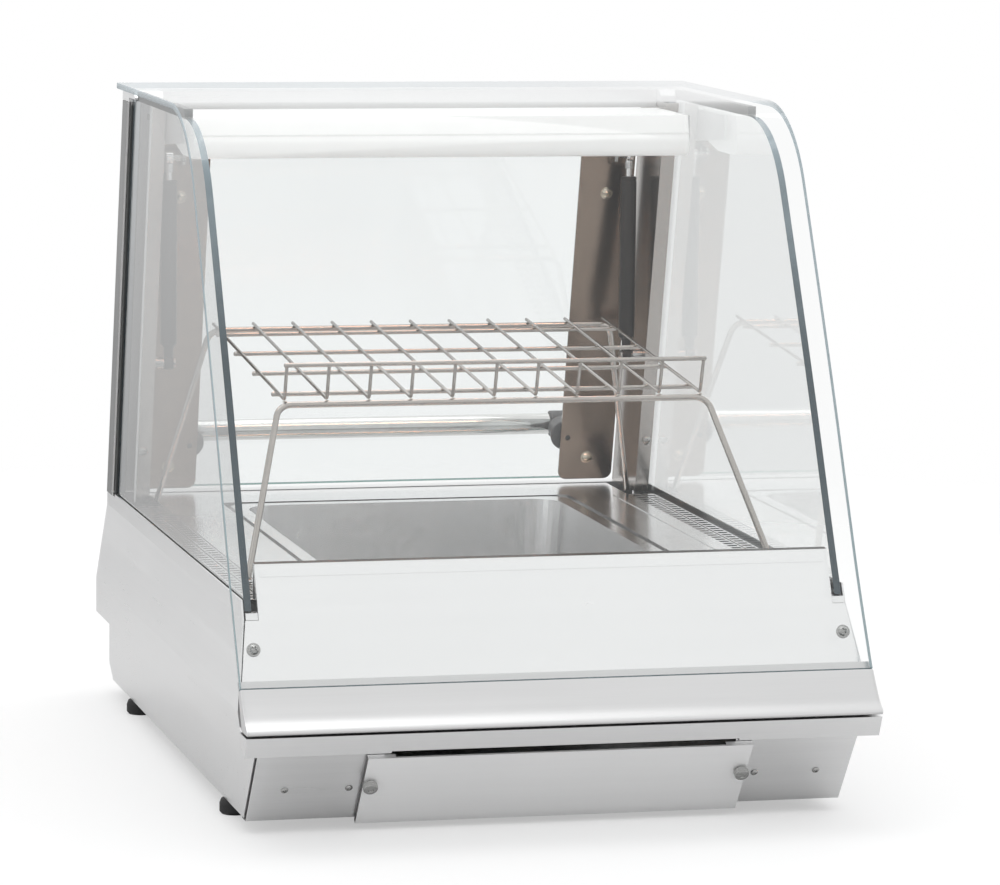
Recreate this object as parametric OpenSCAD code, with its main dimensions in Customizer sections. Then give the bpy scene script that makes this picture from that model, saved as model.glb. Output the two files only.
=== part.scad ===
// Hot food display case: heated counter-top case with a one-piece bent glass
// front and top, glass sides, a gastronorm well with side air grilles, a wire
// plate shelf, an overhead heat lamp and a top-hinged rear flap on gas struts.
// Millimetres. +Z up, -Y towards the customer, +Y towards the operator.
// Origin: centre of the overall box, on the surface that the feet stand on.

/* [Body] */
// Overall width over the side panels
body_w = 540; // [536:1:548]
// Thickness of the folded sheet metal
sheet_t = 1.5; // [1.2:0.1:1.6]
// Height of the deck above the counter
deck_z = 191; // [190:0.5:192]

/* [Glass] */
// Height of the top face of the bent glass
glass_top = 585; // [584:0.5:586]
// Thickness of the bent front and top glass
front_glass_t = 5.5; // [5:0.5:6]
// Thickness of the side glass
side_glass_t = 6; // [5:0.5:6]
// Outer radius of the bend between front and top
bend_r = 125; // [120:1:126]

/* [Well] */
// Gastronorm 1/1 pan, length over the rim
pan_l = 530; // [528:1:532]
// Gastronorm 1/1 pan, width over the rim
pan_w = 325; // [323:1:327]
// Depth of the pan
pan_depth = 65; // [40, 55, 65]
// Pitch of the slots in the side air grilles
slot_pitch = 12.5; // [12:0.5:14]

/* [Shelf] */
// Width over the outermost long wires
shelf_w = 371; // [360:1:374]
// Number of long wires
shelf_wires = 11; // [9, 11, 13]
// Diameter of the two leg loops
loop_d = 5.5; // [5:0.5:6]
// Diameter of the long wires
wire_d = 3; // [2.5:0.1:3.2]

/* [Rear flap] */
// Lean of the rear frame towards the customer, degrees
lean = 12.7; // [12.5:0.1:12.9]
// Diameter of the tube handle
handle_d = 20; // [18:1:22]

/* [Controls] */
// Diameter of the thermostat knob
knob_d = 40; // [34:1:44]

/* [Hidden] */

$fn = 48;
eps = 0.01;
hw = body_w / 2;
st = sheet_t;
box_shift = 10;          // moves the overall box to be centred on Y = 0
tl = tan(lean);

// ---- placement helpers -------------------------------------------------
module placed() translate([0, -box_shift, 0]) children();
// outline in (Y, Z), from x0 to x1
module yz(x0, x1) translate([x0, 0, 0]) rotate([90, 0, 90])
  linear_extrude(x1 - x0) children();
// outline in (X, Z), from y0 to y1
module xz(y0, y1) translate([0, y1, 0]) rotate([90, 0, 0])
  linear_extrude(y1 - y0) children();
module both() { children(); mirror([1, 0, 0]) children(); }
module rod(a, b, d, f = 24) {
  v = b - a; l = norm(v);
  translate(a) rotate([0, acos(v[2] / l), atan2(v[1], v[0])])
    cylinder(h = l, d = d, $fn = f);
}
// sheet of thickness t on the right-hand side of an open path
function dirn(a, b) = (b - a) / norm(b - a);
function perp(v) = [v[1], -v[0]];
function mnorm(p, i) = let (n = len(p),
    a = i > 0 ? dirn(p[i - 1], p[i]) : dirn(p[i], p[i + 1]),
    b = i < n - 1 ? dirn(p[i], p[i + 1]) : a,
    m = perp(a) + perp(b)) m / (1 + a * b);
function side(p, t) = [for (i = [0 : len(p) - 1]) p[i] + mnorm(p, i) * t];
function rev(p) = [for (i = [len(p) - 1 : -1 : 0]) p[i]];
module strip(p, t) polygon(concat(p, rev(side(p, t))));

// ---- glass outline -----------------------------------------------------
// outer face of the front glass in (Y, Z): near straight, then one bend
gp = [[-343.3, 130], [-303.5, 197.8], [-278, 246], [-228.5, 342],
      [-182.4, 426.6]];
ba = 151.3;              // angle at which the bend starts
bc = [-20.3, glass_top - bend_r];
function crom(a, b, c, d, t) = 0.5 * ((2 * b) + (c - a) * t
  + (2 * a - 5 * b + 4 * c - d) * t * t + (3 * b - a - 3 * c + d) * t * t * t);
gq = concat([2 * gp[0] - gp[1]], gp,
  [bc + bend_r * [cos(ba), sin(ba)], bc + bend_r * [cos(ba - 12), sin(ba - 12)]]);
outer = concat(
  [for (i = [1 : 5]) for (k = [0 : 3]) crom(gq[i - 1], gq[i], gq[i + 1], gq[i + 2], k / 4)],
  [for (k = [0 : 14]) bc + bend_r * [cos(ba + (90 - ba) * k / 14), sin(ba + (90 - ba) * k / 14)]],
  [[255, glass_top]]);

function py(z) = 350 - tl * (z - 195);       // inner face of the rear flap
function fy(z) = 275.7 - tl * (z - 199);     // front face of the rear posts
function ry(z) = 358 - tl * (z - 199);       // rear face of the rear posts
sgx0 = 257 - side_glass_t; sgx1 = 257;

// ---- base --------------------------------------------------------------
tray_out = [[-346.6, 75], [-299.4, 13.1], [343, 13.1], [364, 26], [364, 75]];
module base_tray() placed() color("gainsboro") difference() {
  yz(-257.5, 257.5) polygon(tray_out);
  yz(-257.5 + st, 257.5 - st) polygon([[-400, 80], [-400, 13.1 + st], [342.5, 13.1 + st],
    [362.5, 27], [362.5, 60], [380, 60], [380, 80]]);
  // the front is open between the side walls, behind the plinth panels
  yz(-260, 260) polygon([[-400, 90], [-400, 0], [-297.4, 0], [-296.4, 13.1], [-343.8, 75.5], [-343.8, 90]]);
  // air intake slots in the floor
  for (i = [-4 : 4]) translate([i * 22 - 4, 120, 0]) cube([8, 90, 20]);
  for (sx = [-1, 1]) for (y = [-216, 240]) translate([sx * 249, y, 0]) cylinder(h = 30, d = 5.2);
}
module rubber_feet() placed() color("#1c1c1c")
  for (sx = [-1, 1]) for (y = [-216, 240]) translate([sx * 249, y, 0]) difference() {
    union() {
      rotate_extrude() polygon([[0, 0], [11, 0], [13, 2], [13, 9], [11.5, 13], [0, 13]]);
      translate([0, 0, 12]) cylinder(h = 7, d = 5);
    }
    translate([0, 0, -1]) cylinder(h = 4, d = 8);
  }
// sloping plinth fronts, one each side, carrying the inner flange for the panel
ps = [[-345.1, 73], [-298.4, 12.1]];
pn = perp(dirn(ps[0], ps[1]));               // towards the customer and down
pang = atan2(-pn[0], -pn[1]);                // tilt used to aim screws
module aim_plinth(x, y, z) translate([x, y, z]) rotate([-pang, 0, 0]) rotate([180, 0, 0]) children();
module plinth_front() difference() {
  yz(150, 256.3) strip([[-330, 73], ps[0], ps[1], [-285, 12.1]], st);
  for (x = [174.3, 228.4]) let (q = on_plinth(41)) aim_plinth(x, q[0], q[1]) translate([0, 0, -6]) cylinder(h = 14, d = 4.3);
  let (q = on_plinth(48.8)) aim_plinth(159.1, q[0], q[1]) translate([0, 0, -6]) cylinder(h = 14, d = 11);
  translate([255.8, -344.4, 72.5]) cube([4, 40, 4]);
}
module front_panel_right() placed() color("silver") plinth_front();
module front_panel_left() placed() color("silver") mirror([1, 0, 0]) plinth_front();
module pan_screw(d, hd, hh, l) difference() {
  union() {
    translate([0, 0, -l]) cylinder(h = l + eps, d = d);
    intersection() {
      translate([0, 0, hh - hd * 0.75]) sphere(r = hd * 0.75, $fn = 40);
      cylinder(h = hh, d = hd);
    }
  }
  for (a = [0, 90]) rotate([0, 0, a]) translate([-hd * 0.28, -hd * 0.055, hh * 0.45])
    cube([hd * 0.56, hd * 0.11, hh]);
}
function on_plinth(z) = [ps[0][0] + (ps[1][0] - ps[0][0]) * (73 - z) / (73 - 12.1), z] + pn * st;
module plinth_screws() placed() color("dimgray") both()
  for (x = [174.3, 228.4]) let (q = on_plinth(41)) aim_plinth(x, q[0], q[1])
    translate([0, 0, 0.2]) pan_screw(3.9, 6.6, 2, 9);

// removable centre panel: a shallow tray standing proud of the plinth
sv = 4.6;
sv0 = on_plinth(73.3) + pn * 0.4; sv1 = on_plinth(9.5) + pn * 0.4;
module service_panel() placed() color("gainsboro") difference() {
  union() {
    yz(-164.4, 164.4) strip([sv0 + pn * sv, sv1 + pn * sv], -st);
    for (x = [-164.4, 164.4 - st]) yz(x, x + st) polygon([sv0, sv1, sv1 + pn * sv, sv0 + pn * sv]);
    // top fold, open in the middle as a grip and air slot
    both() yz(141, 164.4) polygon([sv0, sv0 + pn * sv, sv0 + pn * sv + dirn(sv0, sv1) * st, sv0 + dirn(sv0, sv1) * st]);
    yz(-164.4, 164.4) polygon([sv1, sv1 + pn * sv, sv1 + pn * sv - dirn(sv0, sv1) * st, sv1 - dirn(sv0, sv1) * st]);
  }
  for (sx = [-1, 1]) let (q = on_plinth(48.8)) aim_plinth(sx * 159.1, q[0], q[1]) translate([0, 0, -9]) cylinder(h = 16, d = 4.3);
}
module thumb_screw(sx) let (q = on_plinth(48.8) + pn * (0.4 + sv + 0.3))
  aim_plinth(sx * 159.1, q[0], q[1]) difference() {
    union() {
      translate([0, 0, -6.5]) cylinder(h = 7, d = 4.2);
      cylinder(h = 1.2, d = 8.5);
      translate([0, 0, 1]) cylinder(h = 5, d = 12.4);
      translate([0, 0, 6 - eps]) cylinder(h = 1.2, d1 = 12.4, d2 = 10);
    }
    for (a = [0 : 20 : 359]) rotate([0, 0, a]) translate([6.5, 0, 1.6]) cylinder(h = 6, d = 1.3, $fn = 6);
    translate([-7, -0.6, 6.4]) cube([14, 1.2, 2]);
  }
module thumb_screw_left() placed() color("silver") thumb_screw(-1);
module thumb_screw_right() placed() color("silver") thumb_screw(1);

// side panel: flange at the glass, upright band, outward slope, skirt, return
module side_panel() difference() {
  xz(-372, 366) polygon(concat([[258, deck_z + 3], [259.5, deck_z + 3], [259.5, 179], [hw, 109], [hw, 76],
    [257.8, 76]], [[257.8, 76 + st], [hw - st, 76 + st], [hw - st, 108.8], [258, 178.8]]));
  // front edge runs parallel to the sloping front
  yz(250, 280) polygon([[-380, 60], [-346.6, 75], [-346.6, 95], [-341, 98], [-333.5, 109], [-290, 194], [-285, 210], [-400, 210]]);
  // step for the foot of the rear post
  translate([250, 324, dz + 0.5]) cube([12, 60, 10]);
}
module side_panel_right() placed() color("gainsboro") side_panel();
module side_panel_left() placed() color("gainsboro") mirror([1, 0, 0]) side_panel();

// folded lip below the drip nose, closed at both ends
lp = [[-347, 76.2], [-363.2, 76.2], [-371.2, 93.5], [-347, 93.5]];
module front_lip() placed() color("silver") difference() {
  union() {
    yz(-hw, hw) strip(lp, st);
    both() yz(hw - st, hw) polygon(lp);
  }
  // air slot above the service panel
  translate([-148, -376, 70]) cube([296, 31, 7.9]);
}

// flared drip nose that carries the lower edge of the bent glass
bo = [[-343.9, 129], [-349.4, 121.8], [-355.9, 113.9], [-362.9, 106.5], [-373.6, 98.6],
  [-373.6, 96.8], [-371.5, 95.6], [-350, 95.6]];
bi = [[-350, 97.4], [-368.6, 97.4], [-361.2, 103.2], [-354, 110.8], [-347.4, 118.8], [-341.9, 126.4]];
// ledge and upstand behind the lower edge of the glass
bl = [[-336.9, 123.4], [-331.6, 132.8], [-332.9, 133.6], [-338.2, 125.9]];
module bullnose() placed() color("whitesmoke") {
  yz(-hw, hw) polygon(concat(bo, bi, bl));
  both() yz(hw - 1.6, hw) polygon(concat(bo, [[-342, 112], [-338, 122]], bl));
}

// ---- front panel behind the glass --------------------------------------
fp = [[-346.8, 99.5], [-333, 112.5], [-313, 155], [-281.6, 222]];
function on_fp(z) = [fp[2][0] + (fp[3][0] - fp[2][0]) * (z - fp[2][1]) / (fp[3][1] - fp[2][1]), z];
fn = perp(dirn(fp[3], fp[2]));               // towards the customer and up
fang = atan2(-fn[0], fn[1]);
module front_panel() placed() color("silver") difference() {
  union() {
    yz(-257.6, 257.6) strip(concat(fp, [[-275.8, 223], [-275.8, 192.2]]), st);
    // hem along the outside of the top edge
    yz(-243, 243) polygon([on_fp(211.8) - fn * 0.3, on_fp(219.6) - fn * 0.3, on_fp(219.6) + fn * 0.9, on_fp(211.8) + fn * 0.9]);
    // the lower corners flare out along the slope of the side panels
    both() intersection() {
      yz(257.5, 269) strip(fp, st);
      xz(-360, -250) polygon([[257, 178.4], [257.7, 178.4], [267.9, 110.2], [267.9, 99], [257, 99]]);
    }
    // turned edge inside each notch
    both() yz(245.3, 246.8) polygon([on_fp(178.8) - fn * 0.2, on_fp(221) - fn * 0.2, on_fp(221) + [5.5, -1], on_fp(178.8) + [6, 0]]);
  }
  // notches that the side glass stands in
  for (sx = [-1, 1]) translate([sx == 1 ? 246.7 : -262, -340, 178.6]) cube([15.3, 80, 60]);
  for (sx = [-1, 1]) aim_clamp(sx) translate([0, 0, -8]) cylinder(h = 16, d = 4.3);
}
module aim_clamp(sx) let (q = on_fp(156)) translate([sx * 253, q[0], q[1]]) rotate([fang, 0, 0]) children();
// clamp behind the panel; its lip shows in the notch, under the glass
cl0 = on_fp(181) - fn * (st + 0.2); cl1 = on_fp(149) - fn * (st + 0.2);
module glass_clamp() difference() {
  union() {
    yz(247, 257.2) strip([cl1, cl0], st);
    yz(247, 257.2) polygon([on_fp(179) - fn * 0.4, on_fp(184.3) - fn * 0.4, on_fp(184.3) + [8, 0], on_fp(179) + [8, 0]]);
  }
  aim_clamp(1) translate([0, 0, -8]) cylinder(h = 16, d = 4.3);
}
module glass_clamps() placed() color("silver") both() glass_clamp();
module clamp_screws() placed() color("silver") for (sx = [-1, 1])
  aim_clamp(sx) translate([0, 0, 0.1]) {
    difference() { cylinder(h = 1.1, d = 11.6); translate([0, 0, -1]) cylinder(h = 3, d = 4.4); }
    translate([0, 0, 1.2]) pan_screw(4.2, 8.8, 3, 9);
  }

// ---- deck, grilles, well and pan ----------------------------------------
dz = deck_z;
well_w = pan_w + 10; well_l = pan_l + 10; py0 = 2;
module deck_plate() placed() color("silver") difference() {
  union() {
    translate([-224.7, -274, dz - st]) cube([449.4, 618, st]);
    // raised side flats between the seam and the grilles
    for (x = [209.4, -224.7]) translate([x, -273, dz - eps]) cube([15.3, 536, 0.6]);
    // recess that the pan rim drops into
    translate([-well_w / 2 - st, py0 - well_l / 2 - st, dz - 5 - st])
      cube([well_w + 2 * st, well_l + 2 * st, 5 + st - 0.2]);
  }
  translate([-well_w / 2, py0 - well_l / 2, dz - 5]) cube([well_w, well_l, 10]);
  translate([-pan_w / 2 + 6, py0 - pan_l / 2 + 7.5, dz - 20]) cube([pan_w - 12, pan_l - 15, 30]);
}
module grille() difference() {
  union() {
    translate([225.2, -272, dz - st]) cube([12, 536, st]);
    translate([238.6, -272, dz - st]) cube([12, 536, st]);
    for (x = [225.2, 236, 238.6, 249.4]) translate([x, -272, dz - 9]) cube([1.2, 536, 8]);
    for (y = [-272, -3, 262]) translate([236.4, y, dz - 9]) cube([3, 2, 4]);
  }
  for (i = [0 : 41]) for (x = [226.9, 240.3])
    translate([x, -262 + i * slot_pitch, dz - 5]) cube([8.6, 5.6, 8]);
}
module air_grille_right() placed() color("silver") grille();
module air_grille_left() placed() color("silver") mirror([1, 0, 0]) grille();
module well_tank() placed() color("silver") difference() {
  union() {
    translate([-167, -264, 96]) cube([334, 532, dz - 7 - 96]);
    translate([-180, -276, dz - 8.4]) cube([360, 556, 1.5]);
  }
  translate([-165.5, -262.5, 97.5]) cube([331, 529, 100]);
  for (x = [-150, 150]) translate([x, 240, 90]) cylinder(h = 12, d = 12);
}
module gn_pan() placed() color("silver") translate([0, py0, dz - 4.7]) difference() {
  union() {
    // rim with rolled-down edge
    linear_extrude(4.2) translate([-pan_w / 2 + 18, -pan_l / 2 + 18]) union() {
      translate([-18, 0]) square([pan_w, pan_l - 36]); translate([0, -18]) square([pan_w - 36, pan_l]);
      for (x = [0, pan_w - 36]) for (y = [0, pan_l - 36]) translate([x, y]) circle(r = 18);
    }
    bowl(0, 1.4);
  }
  translate([0, 0, 0.2]) bowl(0, 0.4, 10);
  // underside of the rim is open
  translate([0, 0, -1]) linear_extrude(4) difference() {
    square([pan_w - 2.4, pan_l - 2.4], center = true);
    square([pan_w - 19, pan_l - 19], center = true);
  }
}
module bowl(g, w, up = 0) difference() {
  rr = 28;
  hull() {
    for (sx = [-1, 1]) for (sy = [-1, 1]) {
      translate([sx * (pan_w / 2 - 12 - rr + w - 1), sy * (pan_l / 2 - 13 - rr + w - 1), up > 0 ? 4.2 : 2.5]) cylinder(h = 0.2 + up, r = rr, $fn = 32);
      translate([sx * (pan_w / 2 - 15 - rr + w - 1), sy * (pan_l / 2 - 16 - rr + w - 1), -pan_depth + 4.2 + (up > 0 ? 1 : 0)]) cylinder(h = 1, r = rr - 2, $fn = 32);
    }
  }
}
module heating_element() placed() color("dimgray") translate([20, 0, 108]) {
  for (i = [-3 : 2]) translate([40 * i, 0, 0]) {
    rod([0, -200, 0], [0, 200, 0], 8);
    }
  for (i = [-3 : 1]) translate([40 * i + 20, i % 2 == 0 ? 200 : -200, 0])
    rotate([0, 0, i % 2 == 0 ? 0 : 180]) rotate_extrude(angle = 180) translate([20, 0]) circle(d = 8);
}
module element_clips() placed() color("gray") translate([20, 0, 0]) for (y = [-120, 0, 120]) difference() {
  translate([-132, y - 5, 97.6]) cube([224, 10, 9]);
  for (i = [-3 : 2]) translate([40 * i, y - 6, 108]) rotate([-90, 0, 0]) cylinder(h = 12, d = 8.3);
}

// ---- glass ---------------------------------------------------------------
module front_glass() placed() color([0.8, 0.92, 0.9, 0.35])
  yz(-hw, hw) strip(outer, front_glass_t);
inner_edge = side(outer, 14.5);
module side_glass_shape() polygon(concat(
  [[-294, dz - 6], [for (p = inner_edge) if (p[1] > 193.5) p][0] - [1.2, 3]],
  [for (p = inner_edge) if (p[1] > 193.5 && p[0] < 10) p],
  [[200, glass_top - 14.5], [ry(glass_top - 14.5) - 36, glass_top - 14.5], [ry(dz - 6) - 36, dz - 6]]));
module side_glass_right() placed() color([0.8, 0.92, 0.9, 0.35]) yz(sgx0, sgx1) side_glass_shape();
module side_glass_left() placed() color([0.8, 0.92, 0.9, 0.35]) mirror([1, 0, 0]) yz(sgx0, sgx1) side_glass_shape();
// black seals: along the rear edge and along the top edge of the side glass
module glass_gaskets() placed() color("#141414") both() {
  yz(sgx0 - 1.4, sgx1 + 1.6) polygon([[ry(568) - 35.4, 568], [ry(568) - 29, 568], [ry(dz + 3.4) - 29, dz + 3.4], [ry(dz + 3.4) - 35.4, dz + 3.4]]);
  yz(sgx0 - 0.6, sgx1 + 0.6) polygon([[-20, glass_top - 14.2], [214, glass_top - 14.2], [214, glass_top - 5.9], [-20, glass_top - 5.9]]);
}

// ---- rear frame -----------------------------------------------------------
module leaning(z0, z1) intersection() {
  translate([0, 275.7 - tl * (0 - 199), 0]) rotate([lean, 0, 0])
    translate([0, 0, -50]) linear_extrude(760) children();
  translate([-300, 100, z0]) cube([600, 320, z1 - z0]);
}
cd = (358 - 275.7) * cos(lean);               // post depth, square to the lean
module post_section() {
  translate([235, 0]) square([13, st]);
  translate([235, 0]) square([st, cd]);
  translate([235, cd - st]) square([26, st]);
  translate([261 - st, cd - 27]) square([st, 27]);
  translate([246.5, 0]) square([st, 9]);
}
module rear_post() difference() {
  leaning(dz + 0.9, 568) post_section();
  translate([242.8, fy(242), 242]) rotate([90 + lean, 0, 0]) translate([0, 0, -9]) cylinder(h = 16, d = 4.4);
  translate([230, hy, hz]) rotate([0, 90, 0]) cylinder(h = 20, d = 6.02);
  translate([230, 262, strut_z]) rotate([0, 90, 0]) cylinder(h = 20, d = 6.02);
}
module rear_post_right() placed() color("silver") rear_post();
module rear_post_left() placed() color("silver") mirror([1, 0, 0]) rear_post();
module post_caps() placed() color("whitesmoke") both() difference() {
  union() {
    yz(235, 261) polygon([[ry(568) - 66, 568.3], [ry(568) + 1, 568.3], [ry(568) - 1, 577], [ry(568) - 4, 579.2], [ry(568) - 60, 579.2], [ry(568) - 66, 574]]);
  }
  yz(sgx0 - 1.2, 262) polygon([[100, 560], [ry(568) - 34, 560], [ry(568) - 34, 572.2], [100, 572.2]]);
  yz(sgx0 - 1.2, sgx1 + 1.2) polygon([[100, 560], [214.3, 560], [214.3, 590], [100, 590]]);
}
module post_screws() placed() color("silver") for (sx = [-1, 1])
  translate([sx * 242.8, fy(242) - 0.2, 242]) rotate([90 + lean, 0, 0]) pan_screw(4.1, 8.6, 2.8, 7);
module top_rail() placed() color("silver") difference() {
  yz(-234.6, 234.6) polygon([[222, 579], [222, 562.5], [254, 562.5], [258, 566], [258, 579]]);
  yz(-240, 240) polygon([[223.5, 577.5], [223.5, 564], [253.4, 564], [256.5, 566.7], [256.5, 577.5]]);
}
module rear_sill() placed() color("silver") {
  yz(-257.4, 257.4) strip([[347, dz - 5], [347, dz + 0.6], [366, dz + 0.6], [366, dz - 14]], st);
}
module rear_panel() placed() color("silver") difference() {
  translate([-257.4, 364.2, 27.5]) cube([514.8, 1.6, dz - 14 - 27.5]);
  translate([ctl_x, 360, ctl_z]) rotate([-90, 0, 0]) cylinder(h = 12, d = 10);
  for (x = sw_x) translate([x - 11.2, 360, ctl_z - 14.2]) cube([22.4, 12, 28.4]);
  translate([disp_x - 36, 360, ctl_z - 14.5]) cube([72, 12, 29]);
  translate([gl_x, 360, gl_z]) rotate([-90, 0, 0]) cylinder(h = 12, d = 20.3);
  // fan outlet grille
  for (i = [-4 : 4]) translate([fan_x - 34, 360, fan_z + i * 8 - 2]) cube([68, 12, 4]);
  translate([ctl_x + 46, 360, ctl_z]) rotate([-90, 0, 0]) cylinder(h = 12, d = 8.2);
}

// ---- overhead heat lamp -----------------------------------------------------
module lamp_outline() polygon([[94.5, 563.6], [92.2, 555], [90, 548], [91.2, 546.6], [89.4, 541], [90.4, 533], [93.4, 528.6], [98, 526.6],
  [150, 526.6], [186, 534], [196, 563.6]]);
module lamp_housing() placed() color("whitesmoke") difference() {
  yz(-225, 225) lamp_outline();
  yz(-230, 230) polygon([[97, 561.6], [94.6, 548.4], [93.8, 541], [95.6, 533.6], [100, 531], [100, 520], [148, 520], [148, 529.4], [184, 536.4], [192.4, 561.6]]);
}
module lamp_end_caps() placed() color("lightgray") both() yz(225.3, 228.3) lamp_outline();
module lamp_reflector() placed() color("silver")
  yz(-214, 214) strip([[106, 534], [112, 552], [136, 552], [142, 534]], -0.8);
module heat_lamp() placed() color("mistyrose") {
  translate([-190, 124, 538]) rotate([0, 90, 0]) cylinder(h = 380, d = 10);
  both() translate([190.2, 117, 530.5]) difference() {
    cube([16, 14, 15]); translate([-1, 7, 7.5]) rotate([0, 90, 0]) cylinder(h = 3, d = 10.4);
  }
}
module lamp_brackets() placed() color("silver") both() {
  yz(232.2, 234.6) polygon([[110, 562.4], [110, 540], [205, 532], [fy(532) + 22, 532], [fy(562.4) + 22, 562.4]]);
  yz(228.6, 232.3) polygon([[150, 556], [150, 544], [176, 544], [176, 556]]);
}

// ---- rear flap ---------------------------------------------------------------
hz = 552; hy = py(hz) + 4 / cos(lean);
strut_z = 325; strut_x = 220; strut_top = 515;
module flapframe() translate([0, hy, hz]) rotate([lean, 0, 0]) children();
fl = 365.6;                                    // flap height below the hinge
module hinge_pins() placed() color("silver") {
  both() translate([221, hy, hz]) rotate([0, 90, 0]) cylinder(h = 17, d = 6);
  // lower pivots of the gas struts
  both() {
    translate([215.2, 262, strut_z]) rotate([0, 90, 0]) cylinder(h = 22.8, d = 6);
    translate([213.6, 262, strut_z]) rotate([0, 90, 0]) cylinder(h = 1.8, d = 9);
    translate([225.4, 262, strut_z]) rotate([0, 90, 0]) cylinder(h = 9.3, d = 11);
  }
}
module flap_pane() placed() color([0.85, 0.93, 0.95, 0.3]) flapframe() difference() {
  translate([-229, -2.2, -fl + 1]) cube([458, 5, fl - 14]);
  for (sx = [-1, 1]) for (z = [-fl + 22.6, -76]) translate([sx * 205, -10, z]) rotate([-90, 0, 0]) cylinder(h = 20, d = 6.4);
  for (sx = [-1, 1]) translate([sx * 185, -10, -fl + 42.5]) rotate([-90, 0, 0]) cylinder(h = 20, d = 6.4);
}
module stile() flapframe() difference() {
  union() {
    // inner plate with rounded lower corners and a turned outer edge
    translate([0, -2.5, 0]) rotate([90, 0, 0]) linear_extrude(st) union() {
      translate([178, -fl + 8]) square([53, fl - 2]);
      translate([186, -fl]) square([37, 9]);
      for (x = [186, 223]) translate([x, -fl + 8]) circle(r = 8);
    }
    translate([231 - st, -4, -fl + 9]) cube([st, 8, fl - 18]);
    translate([214, 0, 0]) rotate([0, 90, 0]) cylinder(h = 16.8, d = 12);
    translate([214, -4, -10]) cube([16.8, 4, 12]);
  }
  translate([213, 0, 0]) rotate([0, 90, 0]) cylinder(h = 22, d = 6.1);
  for (z = [-fl + 22.6, -76]) translate([205, -10, z]) rotate([-90, 0, 0]) cylinder(h = 20, d = 5.3);
  translate([185, -10, -fl + 42.5]) rotate([-90, 0, 0]) cylinder(h = 20, d = 5.3);
}
module flap_stile_right() placed() color("silver") stile();
module flap_stile_left() placed() color("silver") mirror([1, 0, 0]) stile();
module flap_screws() placed() color("silver") flapframe() both()
  for (z = [-fl + 22.6, -76]) translate([205, -4.1, z]) rotate([90, 0, 0]) {
    difference() { cylinder(h = 1, d = 12); translate([0, 0, -1]) cylinder(h = 3, d = 5.2); }
    translate([0, 0, 1.1]) pan_screw(5, 9.5, 3.2, 9);
    translate([0, 0, -10.7]) difference() { cylinder(h = 3.6, d = 9.2, $fn = 6); translate([0, 0, 2]) cylinder(h = 3, d = 5.02); }
  }
hyl = 37.34;                                   // handle axis behind the hinge plane
module flap_handle() placed() color("silver") flapframe()
  translate([-184.6, hyl, -fl + 42.5]) rotate([0, 90, 0]) difference() {
    cylinder(h = 369.2, d = handle_d);
    translate([0, 0, -1]) cylinder(h = 372, d = handle_d - 3);
  }
module handle_mounts() placed() color("#2a2a2c") flapframe() both()
  translate([185, 0, -fl + 42.5]) difference() {
    union() {
      translate([0, 3.1, 0]) rotate([-90, 0, 0]) cylinder(h = 2.4, d = 30);
      translate([0, 3.1, 0]) rotate([-90, 0, 0]) cylinder(h = hyl - 3.1, d = 25);
      translate([-8, hyl, 0]) rotate([0, 90, 0]) cylinder(h = 20.5, d = 25);
    }
    translate([-14, hyl, 0]) rotate([0, 90, 0]) cylinder(h = 15, d = handle_d + 0.2);
    translate([0, 2, 0]) rotate([-90, 0, 0]) cylinder(h = 16, d = 4.6);
  }
// studs on the flap: the upper strut pivots, open, beside the rod eyes
module strut_studs() placed() color("silver") both() {
  translate([0, 0, 0]) yz(205, 208) polygon([[py(505) - 0.4, 505], [py(525) - 0.4, 525], [258, 521], [256, 515], [258, 509]]);
  translate([207.9, 262, strut_top]) rotate([0, 90, 0]) cylinder(h = 8.1, d = 6);
}
module strut_tube() {
  translate([strut_x, 262, 341]) cylinder(h = 152, d = 15);
  translate([strut_x, 262, 493 - eps]) cylinder(h = 1.6, d1 = 15, d2 = 12);
  difference() {
    union() {
      translate([strut_x, 262, 330]) cylinder(h = 12, d = 9);
      translate([strut_x - 4, 262, strut_z]) rotate([0, 90, 0]) cylinder(h = 8, d = 13);
    }
    translate([strut_x - 5, 262, strut_z]) rotate([0, 90, 0]) cylinder(h = 10, d = 6.1);
  }
}
module tube_bored() difference() { strut_tube(); translate([strut_x, 262, 400]) cylinder(h = 100, d = 6.1); }
module strut_rod() difference() {
  union() {
    translate([strut_x, 262, 404]) cylinder(h = 106, d = 6);
    translate([strut_x - 3.6, 262, strut_top]) rotate([0, 90, 0]) cylinder(h = 7.2, d = 12);
    translate([strut_x, 262, 502]) cylinder(h = 8, d = 8);
  }
  translate([strut_x - 5, 262, strut_top]) rotate([0, 90, 0]) cylinder(h = 10, d = 6.1);
}
module strut_tube_right() placed() color("#202022") tube_bored();
module strut_tube_left() placed() color("#202022") mirror([1, 0, 0]) tube_bored();
module strut_rod_right() placed() color("silver") strut_rod();
module strut_rod_left() placed() color("silver") mirror([1, 0, 0]) strut_rod();

// ---- wire shelf -----------------------------------------------------------------
sh = shelf_w / 2;
ss = tan(5.2);                                   // the shelf rises towards the rear
function wz(y) = 335.5 + ss * (y + 104);        // centre height of the long wires
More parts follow.
